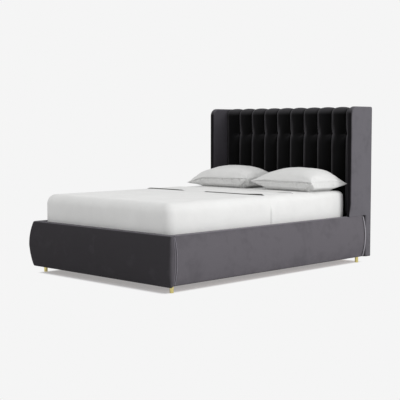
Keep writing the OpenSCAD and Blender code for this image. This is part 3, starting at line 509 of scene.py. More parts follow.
# Wings: a board padded on both sides and round its edges, in one piece from the rail's underside to its
# top, with a long leg behind the side rail. The velvet is drawn over the rounded front corner in one sweep.
(WING_IN, _, _), (WING_OUT, HEAD_BACK, WING_TOP) = corners("wing_cover_right")
WING_R, WING_EDGE = 0.065, 0.012
WING_DRAWN = 0.0135         # how far the outer side is drawn in above the rail
LEG_PRESSED = 0.009         # how far the leg is pressed in beside the rail's end
LAYERS = (0, 0.33, 0.67, 1)  # its rows of points, from its outer side to its inner one
near_edge = [0, 0.0008, 0.0025, 0.005, 0.008, 0.012, 0.018, 0.027]
NEAR = near_edge[-1]
WING_Y = near_edge + [NEAR + (HEAD_Y - WING_FRONT - NEAR) * k / 16 for k in range(1, 17)]
WING_BACK = len(WING_Y) - 1
WING_Y += [HEAD_Y - WING_FRONT + (HEAD_BACK - HEAD_Y) * k / 8 for k in range(1, 9)]
top_gaps = near_edge + [0.035, 0.045, 0.055, WING_R]
WING_Z = [RAIL_Z + (RAIL_TOP - RAIL_Z) * k / 24 for k in range(25)]
WING_LOW = len(WING_Z) - 1
WING_Z += [RAIL_TOP + gap for gap in near_edge[1:]]
WING_Z += [RAIL_TOP + NEAR + (WING_TOP - WING_R - RAIL_TOP - NEAR) * k / 56 for k in range(1, 57)]
WING_Z += [WING_TOP - gap for gap in reversed(top_gaps[:-1])]


def wing_depth(y, z):
    """How deep a point lies inside the wing's outline."""
    deep = min(z - RAIL_TOP, y - WING_FRONT) if y < HEAD_Y - 1e-6 or z > RAIL_TOP + 0.02 else 1
    if y >= HEAD_Y - 1e-6:
        deep = min(y - WING_FRONT if z > RAIL_TOP else y - HEAD_Y, 1)
    deep = min(deep, WING_TOP - z)
    corner = Vector((WING_FRONT + WING_R - y, z - WING_TOP + WING_R))
    if corner.x > 0 and corner.y > 0:
        deep = min(deep, WING_R - corner.length)
    return max(deep, 0)


def wing_point(u, v, layer):
    j, k = round(u * (len(WING_Y) - 1)), round(v * (len(WING_Z) - 1))
    z = WING_Z[k]
    front = WING_FRONT
    if z > WING_TOP - WING_R:
        front += WING_R - math.sqrt(max(WING_R ** 2 - (z - WING_TOP + WING_R) ** 2, 0))
    full = HEAD_Y - WING_FRONT
    y = front + WING_Y[j] / full * (HEAD_Y - front) if j <= WING_BACK else WING_FRONT + WING_Y[j]
    deep = wing_depth(y, z)
    short = WING_EDGE - math.sqrt(max(WING_EDGE ** 2 - (WING_EDGE - min(deep, WING_EDGE)) ** 2, 0))
    inner, outer = WING_IN + short, WING_OUT - short
    taper = 0
    if z >= RAIL_TOP:
        taper = (1 - smooth((z - RAIL_TOP) / 0.11)) * (1 - smooth((y - HEAD_Y + 0.05) / 0.05))
        if y < HEAD_Y:
            outer = WING_OUT - short * (1 - taper)
    outer -= WING_DRAWN * taper
    crown = 0.0022 * smooth(deep / 0.05) * smooth((HEAD_Y - y) / 0.05)
    ripple = 0.0009 * wave(0, y, z, 0.12, 21) * smooth(deep / 0.02)
    outer += crown + ripple
    if z < RAIL_TOP:
        # the long leg is pressed in beside the rail's end, most at the end's top and bottom
        bowed = abs(z - MID_Z) / (RAIL_TOP - MID_Z)
        outer -= LEG_PRESSED * bowed ** 2.5 * (1 - smooth((y - HEAD_Y - 0.009) / 0.006))
    inner -= 0.8 * crown + 0.0007 * wave(1, y, z, 0.11, 22) * smooth(deep / 0.02)
    return outer + (inner - outer) * LAYERS[layer], y, z


wing_right = skin(
    "wing_right", len(WING_Y) - 1, len(WING_Z) - 1, wing_point, layers=3,
    missing=lambda u, v: u * (len(WING_Y) - 1) < WING_BACK and v * (len(WING_Z) - 1) < WING_LOW)
wing_left = mirrored(wing_right, "wing_left")
# painted shade and highlight: the wings' fronts are painted near black, their inner sides darker than their
# outer ones, and faces that look up paler
wing_velvet = velvet(
    "grey_velvet_wings", [(-1, "454348"), (-0.35, "151416"), (0.35, "151416"), (1, "636166")],
    crown="77757A", rise=0.1, cloud=0.3)
for wing, side in ((wing_right, "right"), (wing_left, "left")):
    wing.data.materials.append(wing_velvet)
    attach(wing, "bed_base")
    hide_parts("wing_cover_" + side)

# Headboard: ten upright channels of wadding and velvet, sewn down between them, with one row of covered
# buttons pulled in on the seams. The velvet runs over the top and is stapled behind.
(_, _, PAD_LOW), (PANEL, PAD_END, _) = corners("headboard_padding")
FRAME_TOP = corners("headboard_panel")[1][2]
CHANNELS = 10
CHANNEL_W = 2 * PANEL / CHANNELS
PUFF = 0.030
FACE_Y = HEAD_Y - 0.011
PAD_TOP, FOLD_R = 1.280, 0.050
FOLD_Z = PAD_TOP - FOLD_R
PULL, PULL_OUT, PULL_UP = 0.98, 0.026, 0.048    # how deep a button draws the puffs in, and how far off
CREASE = 0.03               # how deep the crease from button to button is, as a share of the puff
TOP_SHARE = 0.43            # the puff on the headboard's top, as a share of the puff on its face
BUTTON_Z, BUTTON_R = 1.070, 0.011
face_steps = [PAD_LOW + (FOLD_Z - PAD_LOW) * k / 118 for k in range(119)]
# the padding's path as (y, z, forward, upward, share of the puff): up its face, over its top, then down
PATH = [(FACE_Y, z, -1, 0, 0.75 + 0.25 * smooth((z - PAD_LOW) / 0.3)) for z in face_steps]
for k in range(1, 15):
    a = math.radians(180 - 90 * k / 14)
    y, z = FACE_Y + FOLD_R + FOLD_R * math.cos(a), FOLD_Z + FOLD_R * math.sin(a)
    PATH.append((y, z, math.cos(a), math.sin(a), TOP_SHARE + (1 - TOP_SHARE) * (1 - smooth(k / 14))))
for k in range(1, 7):
    t = k / 6
    y = FACE_Y + FOLD_R + (PAD_END - 0.006 - FACE_Y - FOLD_R) * t
    PATH.append((y, PAD_TOP - 0.003 * t, 0, 1, TOP_SHARE * (1 - 0.75 * t * t)))
for k in range(1, 6):
    z = PAD_TOP - 0.006 - (PAD_TOP - FRAME_TOP - 0.012) * k / 5
    PATH.append((PAD_END - 0.003 * (1 - k / 5), z, 0, 1, 0))
shares = [0, 0.012, 0.035, 0.07, 0.12, 0.18, 0.25, 0.33, 0.42, 0.5]
shares += [1 - s for s in reversed(shares[:-1])]
PER = len(shares) - 1


def padding_point(u, v, layer):
    step = round(u * PER * CHANNELS)
    channel = min(step // PER, CHANNELS - 1)
    share = shares[step - channel * PER]
    x = (channel + share) * CHANNEL_W - PANEL
    y, z, forward, upward, part = PATH[round(v * (len(PATH) - 1))]
    if layer:
        # the back lies on the headboard's panel and the top of its frame
        z = min(z, FRAME_TOP + 0.0003) if y > FACE_Y + 0.005 else z
        return x, max(min(y + 0.0107, PAD_END), HEAD_Y - 0.0003), z
    seam = round((x + PANEL) / CHANNEL_W)
    side = x + PANEL - seam * CHANNEL_W
    dz = z - BUTTON_Z
    swell = PUFF * part * math.sin(math.pi * share) ** 0.55
    if 0 < seam < CHANNELS and abs(dz) < 0.2:
        # a button draws the two channels in, with pleats that run out from it
        far_off = math.hypot(side / PULL_OUT, dz / (PULL_UP if dz > 0 else PULL_OUT))
        swell *= 1 - PULL * math.exp(-max(far_off - 0.25, 0) ** 0.95)
        angle = math.atan2(dz, side)
        pleat = math.exp(-((math.hypot(side, dz) - 0.030) / 0.014) ** 2)
        swell += 0.0010 * pleat * math.cos(7 * angle + 1.3 * seam) * smooth(abs(side) / 0.01)
        swell -= 0.004 * math.exp(-(side / 0.014) ** 2) * math.exp(-(dz / 0.03) ** 2)
    # a shallow crease runs across each channel from button to button
    swell *= 1 - CREASE * math.exp(-(dz / 0.024) ** 2)
    loose = smooth(share / 0.15) * smooth((1 - share) / 0.15) * part
    swell += loose * 0.0016 * wave(x, 0, z, 0.12, 31 + channel)
    swell += loose * 0.0007 * wave(x, 0, z * 0.4, 0.03, 40 + channel)
    # the seams sink a little between the puffs
    swell -= 0.003 * math.exp(-(share * (1 - share) / 0.012) ** 2) * part
    if channel in (0, CHANNELS - 1):
        # the end channels are pressed against the wings
        against = share if channel == 0 else 1 - share
        swell = max(swell, 0.010 * part * (against < 0.5))
    return x, y + forward * swell, z + upward * swell


padding = skin("headboard_channels", PER * CHANNELS, len(PATH) - 1, padding_point, layers=1)
# painted shade and highlight: faces that look right, the channels' sides, are painted near black, faces that
# look left, the puffs' rims, pale as a painted sheen, and the puffs' tops pale
padding.data.materials.append(velvet(
    "charcoal_velvet_headboard", [(-0.5, "040404"), (0, "0C0C0D"), (0.25, "100F10"), (0.8, "525154")],
    crown="504F52", rise=0.02, cloud=0.12, sheen=0.4, painted_rims_left=True))
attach(padding, "bed_base")
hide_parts("headboard_padding")


# Buttons: a shell of two pressed halves with a disc of velvet gathered over its face.
BUTTON_DOME, BUTTON_RIM = 0.0048, 0.0012


def button_point(u, v, layer):
    a, r = 2 * math.pi * u, BUTTON_R * v
    dome = BUTTON_DOME * math.sqrt(max(1 - 0.97 * v * v, 0)) + BUTTON_RIM
    pleat = 0.00022 * math.cos(14 * a) * smooth((v - 0.35) / 0.5)
    depth = dome + pleat if layer == 0 else 0
    r *= 1 if layer == 0 else 0.9
    return r * math.cos(a), -depth, r * math.sin(a)


button = skin("button_first", 56, 8, button_point, layers=1)
buttons = []
for c in range(1, CHANNELS):
    turn = Matrix.Rotation(1.7 * c, 4, "Y")
    place = Matrix.Translation((c * CHANNEL_W - PANEL, FACE_Y - 0.0002, BUTTON_Z))
    buttons.append(copied(button, "button", place @ turn))
bpy.data.objects.remove(button)
buttons = joined(buttons, "button_row")
# painted shade: the buttons are painted nearly black, as the shade in the hollow round each one
buttons.data.materials.append(velvet("charcoal_velvet_buttons_and_shade", [(0, "060606"), (1, "121213")], sheen=0.1))
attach(buttons, "bed_base")
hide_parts("headboard_buttons")


# Back cover: a plain panel of velvet, stapled over the headboard's frame from wing to wing, with two
# upright seams.
BACK_Y = HEAD_BACK + 0.0018
BACK_SEAM = 0.264           # how far each seam is from the middle


def back_point(u, v, _):
    x = -WING_OUT + 2 * WING_OUT * u
    z = RAIL_Z + (WING_TOP - WING_EDGE - RAIL_Z) * v
    inside = smooth(min(u, 1 - u) * 12) * smooth(min(v, 1 - v) * 12)
    seam = math.exp(-((abs(x) - BACK_SEAM) / 0.003) ** 2)
    return x, BACK_Y - 0.0007 * seam + inside * 0.0006 * wave(x, 0, z, 0.2, 50), z


back = skin("headboard_back_panel", 160, 60, back_point)
shaped(back, "SOLIDIFY", thickness=0.0017, offset=-1)
# painted light: faces that look outwards and up are painted paler, as on the other velvets
back.data.materials.append(velvet("grey_velvet_back", [(0, "3A383C"), (1, "4A484C")], crown="77757A"))
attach(back, "bed_base")
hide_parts("headboard_back_cover")

# Mattress: springs and fillings in a quilted knitted cover, with a taped edge round its underside. It lies
# loose on the slats, and two stops of bent steel bar at its head end hold it when the bed is lifted.
(_, MATTRESS_Y0, MATTRESS_Z), (MATTRESS_X, MATTRESS_Y1, _) = corners("mattress")
MATTRESS_TOP, MATTRESS_R = 0.602, 0.068
SQUARER = 0.022             # how much tighter the head end's edges are rounded
TAPE, PULLED_IN = 0.010, 0.0016     # the tape's width, and how far the cover is pulled in above it
CLOSE = (0, 0.1, 0.22, 0.35, 0.5, 0.66, 0.83, 1)    # where the rows of faces lie, across a round edge


def block_steps(low, high, edge, count):
    """Places from low to high, close together within edge of each end."""
    first = [low + edge * e for e in CLOSE]
    last = [high - edge * e for e in reversed(CLOSE)]
    inner = [first[-1] + (last[0] - first[-1]) * k / count for k in range(1, count)]
    return first + inner + last


def soft_block(name, grow, x_count, y_count, z_count, y_end=None, rows=()):
    """A block with round edges, open below, that lies grow outside the mattress, with extra rows of faces."""
    r = MATTRESS_R + grow
    edge = r * 1.6
    x_steps = block_steps(-MATTRESS_X - grow, MATTRESS_X + grow, edge, x_count)
    y_steps = block_steps(MATTRESS_Y0 - grow, MATTRESS_Y1 + grow, edge, y_count)
    if y_end is not None:
        y_steps = [y for y in y_steps if y < y_end - 0.004] + [y_end]
    y_steps = sorted([y for y in y_steps if all(abs(y - row) > 0.003 for row in rows)] + list(rows))
    top = MATTRESS_TOP + grow
    z_steps = [MATTRESS_Z + (top - edge - MATTRESS_Z) * k / z_count for k in range(z_count)]
    z_steps += [top - edge * e for e in reversed(CLOSE)]
    nx, ny, nz = len(x_steps) - 1, len(y_steps) - 1, len(z_steps) - 1
    # a flat cross of five panels, the top and four sides, folds up into the open block
    columns, lines = nx + 2 * nz, ny + 2 * nz

    def unused(u, v):
        i, j = int(u * columns), int(v * lines)
        past_x = i < nz or i >= nz + nx
        past_y = j < nz or j >= nz + ny
        return (past_x and past_y) or (y_end is not None and j >= nz + ny)

    def block_point(u, v, _):
        i, j = round(u * columns), round(v * lines)
        down = max(nz - i, i - nz - nx, nz - j, j - nz - ny, 0)
        across, along = min(max(i - nz, 0), nx), min(max(j - nz, 0), ny)
        point = Vector((x_steps[across], y_steps[along], z_steps[nz - down]))
        # the head end is squarer than the foot end, where the sheets are pulled down
        bend = r - SQUARER * smooth((point.y - 0.1) / 0.7)
        inner_x = MATTRESS_X + grow - bend
        first = MATTRESS_Y0 - grow + bend
        last = MATTRESS_Y1 + grow - bend if y_end is None else y_end + r
        core = Vector((
            min(max(point.x, -inner_x), inner_x), min(max(point.y, first), last), min(point.z, top - bend)))
        away = point - core
        return core + away.normalized() * bend if away.length > 1e-9 else point

    return skin(name, columns, lines, block_point, missing=unused)


mattress = soft_block("mattress_body", -0.0006, 44, 60, 12)
for vertex in mattress.data.vertices:
    x, y, z = vertex.co
    pulled = PULLED_IN * smooth((z - MATTRESS_Z - TAPE) / 0.004)
    if abs(x) > MATTRESS_X - 0.01:
        vertex.co.x -= math.copysign(pulled, x)
    if y < MATTRESS_Y0 + 0.01:
        vertex.co.y += pulled
    if y > MATTRESS_Y1 - 0.01:
        vertex.co.y -= pulled
only(mattress)
opened("EDGE", "DESELECT")
bpy.ops.mesh.select_non_manifold()
bpy.ops.mesh.extrude_region_move(TRANSFORM_OT_translate={"value": (0, 0, 0.0001)})
middle = (0, (MATTRESS_Y0 + MATTRESS_Y1) / 2, MATTRESS_Z)
bpy.ops.transform.resize(value=(0.985, 0.99, 1), center_override=middle)
bpy.ops.mesh.edge_face_add()
closed()


# Ticking: a white knitted cover quilted to its wadding in an open lattice of diamonds, which the light
# picks out as shallow dimples. The quilting runs in both diagonals, and the knit is drawn at 2 mm to show.
QUILTING, KNIT = 90, 2      # mm
WAVE = math.pi / 10         # how far apart, in metres, the bands of a wave texture of scale 1 are
ticking, shader, where = finish("quilted_ticking")
waves = []
for turn in (math.radians(45), math.radians(-45)):
    laid = add(ticking, "Mapping", {"Vector": where, "Rotation": (0, 0, turn)})
    waves.append(add(ticking, "TexWave", {"Vector": laid, "Scale": 1000 * WAVE / QUILTING}))
lattice = add(ticking, "Math", {0: waves[0].outputs["Fac"], 1: waves[1].outputs["Fac"]}, operation="MULTIPLY")
knit = add(ticking, "TexNoise", {"Vector": where, "Scale": 1000 / KNIT}).outputs["Fac"]
colour = add(ticking, "ValToRGB", {"Fac": knit}, [(0.3, "D2CFC8"), (0.7, "E4E2DC")])
quilt = add(ticking, "Bump", {"Height": lattice, "Strength": 0.6, "Distance": 0.004})
fine = add(ticking, "Bump", {"Height": knit, "Strength": 0.3, "Distance": 0.0005, "Normal": quilt})
feed(ticking, shader, {"Base Color": colour, "Normal": fine, "Roughness": 0.85})
mattress.data.materials.append(ticking)
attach(mattress, "platform")
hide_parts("mattress")


# Bedding: bleached cotton percale, a plain weave with a soft matt face and fine creases from the wash.
# Its marks in mm: broad shades, creases, and threads, which are 0.25 mm apart and drawn at 1.5 mm to show.
SHADES, CREASES, THREADS = 200, 76.92, 1.496


def percale(name, pale="E4E4E3", shade="DFDFDE", crease=0.16):
    made, shader, where = finish(name)
    broad = add(made, "TexNoise", {"Vector": where, "Scale": 1000 / SHADES, "Detail": 5.0, "Roughness": 0.6})
    colour = add(made, "ValToRGB", {"Fac": broad.outputs["Fac"]}, [(0.35, shade), (0.65, pale)])
    threads = {"Vector": where, "Scale": 1000 * WAVE / THREADS, "Distortion": 0.6}
    weft = add(made, "TexWave", threads, bands_direction="X")
    warp = add(made, "TexWave", threads, bands_direction="Y")
    weave = add(made, "Math", {0: weft.outputs["Fac"], 1: warp.outputs["Fac"]}, operation="ADD")
    creases = add(made, "TexNoise", {
        "Vector": where, "Scale": 1000 / CREASES, "Detail": 4.0, "Distortion": 0.8})
    thread = add(made, "Bump", {"Height": weave, "Strength": 0.12, "Distance": 0.0002})
    bump = add(made, "Bump", {
        "Height": creases.outputs["Fac"], "Strength": crease, "Distance": 0.004, "Normal": thread})
    feed(made, shader, {
        "Base Color": colour, "Normal": bump, "Roughness": 0.8,
        "Specular IOR Level": 0.25, "Sheen Weight": 0.15})
    return made


# Fitted sheet: one length of percale with elastic in its hem, stretched over the mattress. Beside the
# pillows, where no other sheet covers it, its sides hang in a few soft folds.
FOLD_Y, HEM_Y = corners("top_sheet")[1][1], FOOT + 1.100
SIDE_X = MATTRESS_X - 0.02  # outside this a sheet hangs on the mattress's side
TOP_Z = 0.57                # above this it lies on the mattress's top
fitted = soft_block("fitted_sheet_piece", 0.0018, 60, 84, 14)
for vertex in fitted.data.vertices:
    x, y, z = vertex.co
    bare = smooth((y - FOLD_Y - 0.02) / 0.05)
    low = smooth((0.56 - z) / 0.06)
    if abs(x) > SIDE_X:
        vertex.co.x += math.copysign(bare * low * (0.0012 + 0.0012 * wave(0, y * 1.6, z * 0.5, 0.16, 62)), x)
    if y > MATTRESS_Y1 - 0.02:
        vertex.co.y += low * (0.0006 + 0.0006 * wave(x * 2.2, 0, z, 0.12, 63))
shaped(fitted, "SOLIDIFY", thickness=0.0012, offset=-1)
cotton = percale("white_percale_sheets")
fitted.data.materials.append(cotton)
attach(fitted, "platform")
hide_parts("fitted_sheet")

# Top sheet: spread over the foot of the bed, tucked under the mattress, and turned down over itself in a
# deep band. The band's hem stands a little off the sheet in two stretches on top and down each side.
SHEET_OUT = 0.0038
BAND_OUT = 0.0021
HEM_UP, HEM_SIDE = 0.0075, 0.0070   # how far the hem stands off, on top and down the side
HEM_LEFT, HEM_RIGHT = (-0.73, -0.215), (0, 0.632)   # from where to where it does on top, across the bed
FOLD_UP, FOLD_LAP = 0.0058, 0.0065  # how far the fold stands up, and laps over towards the foot
FOLD_START, FOLD_END = 0.10, 0.645  # from where to where it does
SHEET_STEPS = 60, 70, 14    # rows of faces across, along and down
# closer rows that shape the hem and the fold, by how far they lie from each
HEM_STEPS = (0, 0.004, 0.009, 0.016, 0.028, 0.045)
FOLD_STEPS = (0.034, 0.025, 0.0205, 0.017, 0.0135, 0.009, 0.0045)
top_sheet = soft_block("top_sheet_piece", SHEET_OUT, *SHEET_STEPS, y_end=FOLD_Y)
near_rows = [HEM_Y + gap for gap in HEM_STEPS] + [FOLD_Y - gap for gap in FOLD_STEPS]
band = soft_block("turned_down_band", SHEET_OUT + BAND_OUT, *SHEET_STEPS, y_end=FOLD_Y, rows=near_rows)
only(band)
cut_away(band, lambda face: face.center.y < HEM_Y)


def hem_lift(x, z):
    """How far the band's hem stands off the sheet below it."""
    if z < 0.56:
        return HEM_SIDE * smooth((0.518 - z) / 0.015)
    left = smooth((x - HEM_LEFT[0]) / 0.03) * smooth((HEM_LEFT[1] - x) / 0.04)
    right = smooth((x - HEM_RIGHT[0]) / 0.03) * smooth((HEM_RIGHT[1] - x) / 0.012)
    right *= 0.6 + 0.8 * smooth((x - 0.42) / 0.2)
    return HEM_UP * max(left * 0.75, right)


for piece, turned in ((top_sheet, False), (band, True)):
    for vertex in piece.data.vertices:
        x, y, z = vertex.co
        side = abs(x) > SIDE_X
        front = y < MATTRESS_Y0 + 0.02
        low = smooth((TOP_Z - z) / 0.06)
        past = Vector((math.copysign(max(abs(x) - MATTRESS_X + MATTRESS_R, 0), x), 0,
                       max(z - MATTRESS_TOP + MATTRESS_R, 0))).normalized()
        if side:
            drape = 0.0016 + 0.0014 * wave(0, y * 0.8, z * 0.4, 0.14, 71)
            drape += 0.0005 * wave(0, y * 2, z * 0.5, 0.05, 72)
            vertex.co.x += math.copysign(drape * low * smooth((y - MATTRESS_Y0 - 0.03) / 0.1), x)
        if front:
            vertex.co.y -= (0.0004 + 0.0008 * wave(x * 1.2, 0, z * 0.5, 0.14, 73)) * low
        if z > TOP_Z:
            flat = smooth((FOLD_Y - y) / 0.02)
            vertex.co.z += flat * (0.0008 * wave(x, y, 0, 0.16, 74) + 0.0003 * wave(x * 2, y, 0, 0.05, 75))
        # the fold stands up as a soft edge between the pillows and the bed's side, and laps a little over
        ridge = smooth((x - FOLD_START) / 0.1) * smooth((FOLD_END - x) / 0.01) * (z > TOP_Z)
        ridge *= (0.6 + 0.6 * smooth((x - 0.45) / 0.12)) * smooth((y - FOLD_Y + 0.0195) / 0.002)
        vertex.co.z += FOLD_UP * ridge
        if turned:
            vertex.co.y -= FOLD_LAP * ridge * (1 - smooth((y - FOLD_Y + 0.0165) / 0.007))
            near = 1 - smooth((y - HEM_Y) / 0.07)
            lift = hem_lift(x, z)
            # where it doesn't stand off, the hem lies pressed on the sheet
            pressed = 0.0017 * (1 - min(lift / 0.003, 1))
            if side and low > 0.9:
                # on the side it runs back to the sheet in a narrow slope
                slope = smooth((y - HEM_Y) / 0.009)
                lift *= slope
                pressed = 0.0015 * (1 - slope)
            vertex.co += past * (lift - pressed) * near
            vertex.co.y += 0.004 * wave(x, 0, z, 0.4, 76) * near
only(top_sheet)
band.select_set(True)
bpy.ops.object.join()
opened("EDGE", "DESELECT")
bpy.ops.object.mode_set(mode="OBJECT")
for edge in top_sheet.data.edges:
    ends = [top_sheet.data.vertices[k].co.y for k in edge.vertices]
    edge.select = min(ends) > FOLD_Y - 0.0002
bpy.ops.object.mode_set(mode="EDIT")
bpy.ops.mesh.bridge_edge_loops(number_cuts=3, smoothness=1.4, interpolation="SURFACE")
closed()
bpy.ops.object.shade_smooth()
shaped(top_sheet, "SOLIDIFY", thickness=0.0009, offset=0)
shaped(top_sheet, "EDGE_SPLIT", split_angle=math.radians(50))
top_sheet.data.materials.clear()
top_sheet.data.materials.append(cotton)
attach(top_sheet, "platform")
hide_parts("top_sheet")

# Pillows: two white pillows with a hollow-fibre filling. Top and bottom panels are joined by a sewn edge
# that the filling pulls into short creases, and the four corners stay pinched as small ears.
(x0, y0, SHEET_Z), (x1, y1, _) = corners("pillow_left")
PILLOW_W, PILLOW_L = round(x1 - x0, 4), round(y1 - y0, 4)
PILLOW_X, PILLOW_Y = (x0 + x1) / 2, (y0 + y1) / 2
PILLOW_H, PILLOW_SEAM = 0.183, 0.080
PILLOW_TURN = math.radians(4)
SLACK = 0.007               # how far inside its edges a pillow starts, as its filling presses it out
VOXEL, CAP = 0.006, 0.012   # its mesh's fineness, and how far the filling may press a point out
SEAM_IN, CREASE_IN = 0.0125, 0.024  # how deep the sewn edge and the creases below it run in
SHORT_SIDE = 0.12           # how deep they are on the short sides, as a share of that
UNDER_IN, UNDER_Z = 0.17, 0.034     # how much the underside turns in, and from how high up


def pillow_point(u, v, layer):
    a, b = -math.cos(math.pi * u), -math.cos(math.pi * v)
    x = (PILLOW_W / 2 - SLACK) * a * (1 - 0.06 * (1 - b * b))
    y = (PILLOW_L / 2 - SLACK) * b * (1 - 0.08 * (1 - a * a))
    # the filling lies a little to the right, and leaves the corners thin
    full = a - 0.09 * (1 - a * a)
    crown = (max(1 - abs(full) ** 2.4, 0) * max(1 - abs(b) ** 2.2, 0)) ** 0.62
    crown *= 1 - 0.5 * smooth((abs(a * b) - 0.3) / 0.6)
    if layer == 0:
        return x, y, PILLOW_SEAM + 0.004 + (PILLOW_H - 0.012 - PILLOW_SEAM + 0.010 * b) * crown
    inset = min((1 - abs(a)) * PILLOW_W, (1 - abs(b)) * PILLOW_L) / 2
    raised = 0.010 * (1 - smooth(inset / 0.045)) + (PILLOW_SEAM - 0.014) * (1 - smooth(inset / 0.018))
    return x, y, 0.001 + raised


def inflate(piece):
    """Remeshes a pillow and lets its filling press it out as cloth, by no more than the cap."""
    shaped(piece, "REMESH", mode="VOXEL", voxel_size=VOXEL)
    start = [vertex.co.copy() for vertex in piece.data.vertices]
    cloth = piece.modifiers.new("filling", "CLOTH")
    cloth.settings.use_pressure = True
    cloth.settings.uniform_pressure_force = 4
    cloth.settings.effector_weights.gravity = 0
    for step in range(1, 21):
        bpy.context.scene.frame_set(step)
    bpy.ops.object.modifier_apply(modifier=cloth.name)
    bpy.context.scene.frame_set(1)
    for vertex, first in zip(piece.data.vertices, start):
        moved = vertex.co - first
        if moved.length > CAP:
            vertex.co = first + moved * (CAP / moved.length)
    shaped(piece, "SUBSURF", levels=1, render_levels=1)
    bpy.ops.object.shade_smooth()


def sew_pillow(piece, seed, rise, ears):
    """Draws in the seam, with creases that run out from it, and pinches the four corners into ears."""
    for vertex in piece.data.vertices:
        x, y, z = vertex.co
        a, b = x / (PILLOW_W / 2), y / (PILLOW_L / 2)
        seam_z = PILLOW_SEAM + rise * a + 0.003 * wave(x, y, 0, 0.12, seed)
        rim = smooth((max(abs(a), abs(b)) - 0.72) / 0.2)
        along = x if abs(b) > abs(a) else y
        gap = z - seam_z
        inwards = Vector((-a * abs(a), -b * abs(b), 0)).normalized()
        front = 1 if abs(b) > abs(a) else SHORT_SIDE
        groove = SEAM_IN * smooth((0.002 - gap) / 0.004) * (1 - smooth((-gap - 0.004) / 0.014)) * front
        below = smooth(-gap / 0.006) * smooth(z / 0.010)
        above = math.exp(-(max(gap, 0) / 0.03) ** 2)
        crease = abs(wave(along, z * 0.22, 0, 0.016, seed + 1)) * below * CREASE_IN * front
        crease += wave(along, z * 0.3, 0, 0.03, seed + 2) * above * 0.0022
        corner = smooth((abs(a * b) - 0.52) / 0.2) * (1 - smooth((abs(a * b) - 0.85) / 0.1))
        crease += wave(x, y, z * 0.5, 0.022, seed + 5) * corner * 0.0045
        vertex.co += inwards * rim * (groove + crease)
        soft = wave(x, y, z, 0.11, seed + 3) * 0.0045 + wave(x, y, z, 0.045, seed + 4) * 0.0012
        vertex.co.z += soft * smooth((z - PILLOW_SEAM) / 0.05)
        # the underside turns in where it meets the sheet
        turned_in = UNDER_IN * (1 - smooth(vertex.co.z / UNDER_Z))
        vertex.co.x *= 1 - turned_in
        vertex.co.y *= 1 - turned_in
        ear = smooth((abs(a * b) - 0.50) / 0.42)
        hang = ears[(1 if a > 0 else 0) + (2 if b > 0 else 0)]
        # an ear that hangs lower is drawn out longer
        longer = -min(hang + 0.022, 0)
        vertex.co.x += math.copysign((0.017 + 1.1 * longer) * ear, x)
        vertex.co.y += math.copysign((0.010 + 0.3 * longer) * ear, y)
        vertex.co.z += (seam_z + hang - vertex.co.z) * 0.85 * ear + hang * 0.15 * ear
        vertex.co.z = max(vertex.co.z, 0.0004)


pillow_cotton = percale("white_percale_pillows", "E0E0DF", "DBDBDA", crease=0.4)
right_x = PILLOW_W / 2 * math.cos(PILLOW_TURN) + PILLOW_L / 2 * math.sin(PILLOW_TURN)
# each pillow's ears hang by these heights: front left, front right, back left and back right
for side, x, turn, seed, rise, ears in (
        ("left", PILLOW_X, 0, 80, 0.007, (-0.046, 0.004, -0.012, 0.0)),
        ("right", right_x, -PILLOW_TURN, 90, 0.001, (-0.008, 0.0, -0.010, -0.022))):
    pillow = skin("pillow_" + side + "_piece", 72, 48, pillow_point, layers=1)
    inflate(pillow)
    sew_pillow(pillow, seed, rise, ears)
    pillow.data.transform(Matrix.Translation((x, PILLOW_Y, SHEET_Z)) @ Matrix.Rotation(turn, 4, "Z"))
    pillow.data.materials.append(pillow_cotton)
    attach(pillow, "platform")
    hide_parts("pillow_" + side)

# Pull strap: a loop of woven polypropylene webbing, sewn round the platform's foot tube.
(x0, y0, STRAP_LOW), (x1, y1, TUBE_Z) = corners("pull_strap")
STRAP_Y, STRAP_R, STRAP_W = (y0 + y1) / 2, (y1 - y0) / 2, x1 - x0
STRAP_T = 0.0025


def strap_point(u, v, _):
    mid = STRAP_R - STRAP_T / 2
    straight = TUBE_Z - STRAP_LOW - STRAP_R
    whole = 2 * straight + math.pi * mid
    s = v * whole
    x = STRAP_W * (u - 0.5)
    if s < straight:
        return x, STRAP_Y - mid, TUBE_Z - s
    if s > whole - straight:
        return x, STRAP_Y + mid, TUBE_Z - (whole - s)
    a = (s - straight) / mid
    return x, STRAP_Y - mid * math.cos(a), STRAP_LOW + STRAP_R - mid * math.sin(a)


strap = skin("pull_strap_loop", 16, 72, strap_point)
shaped(strap, "SOLIDIFY", thickness=STRAP_T - 0.0003, offset=0)
webbing, shader, where = finish("black_woven_webbing")
# its ribs are 2 mm apart, and its cross threads 1.4 mm: dull black, with a little light on each rib
RIBS, PICKS = 1.96, 1.43    # mm
ribs = add(webbing, "TexWave", {
    "Vector": where, "Scale": 1000 * WAVE / RIBS, "Distortion": 0.4}, bands_direction="X").outputs["Fac"]
picks = add(webbing, "TexWave", {
    "Vector": where, "Scale": 1000 * WAVE / PICKS, "Distortion": 0.4}, bands_direction="Z").outputs["Fac"]
woven = add(webbing, "Math", {0: ribs, 1: picks}, operation="MULTIPLY")
colour = add(webbing, "ValToRGB", {"Fac": woven}, [(0, "141415"), (1, "37373A")])
raised = add(webbing, "Bump", {"Height": woven, "Strength": 0.6, "Distance": 0.0006})
feed(webbing, shader, {"Base Color": colour, "Normal": raised, "Roughness": 0.7})
strap.data.materials.append(webbing)
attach(strap, "platform")
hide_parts("pull_strap")


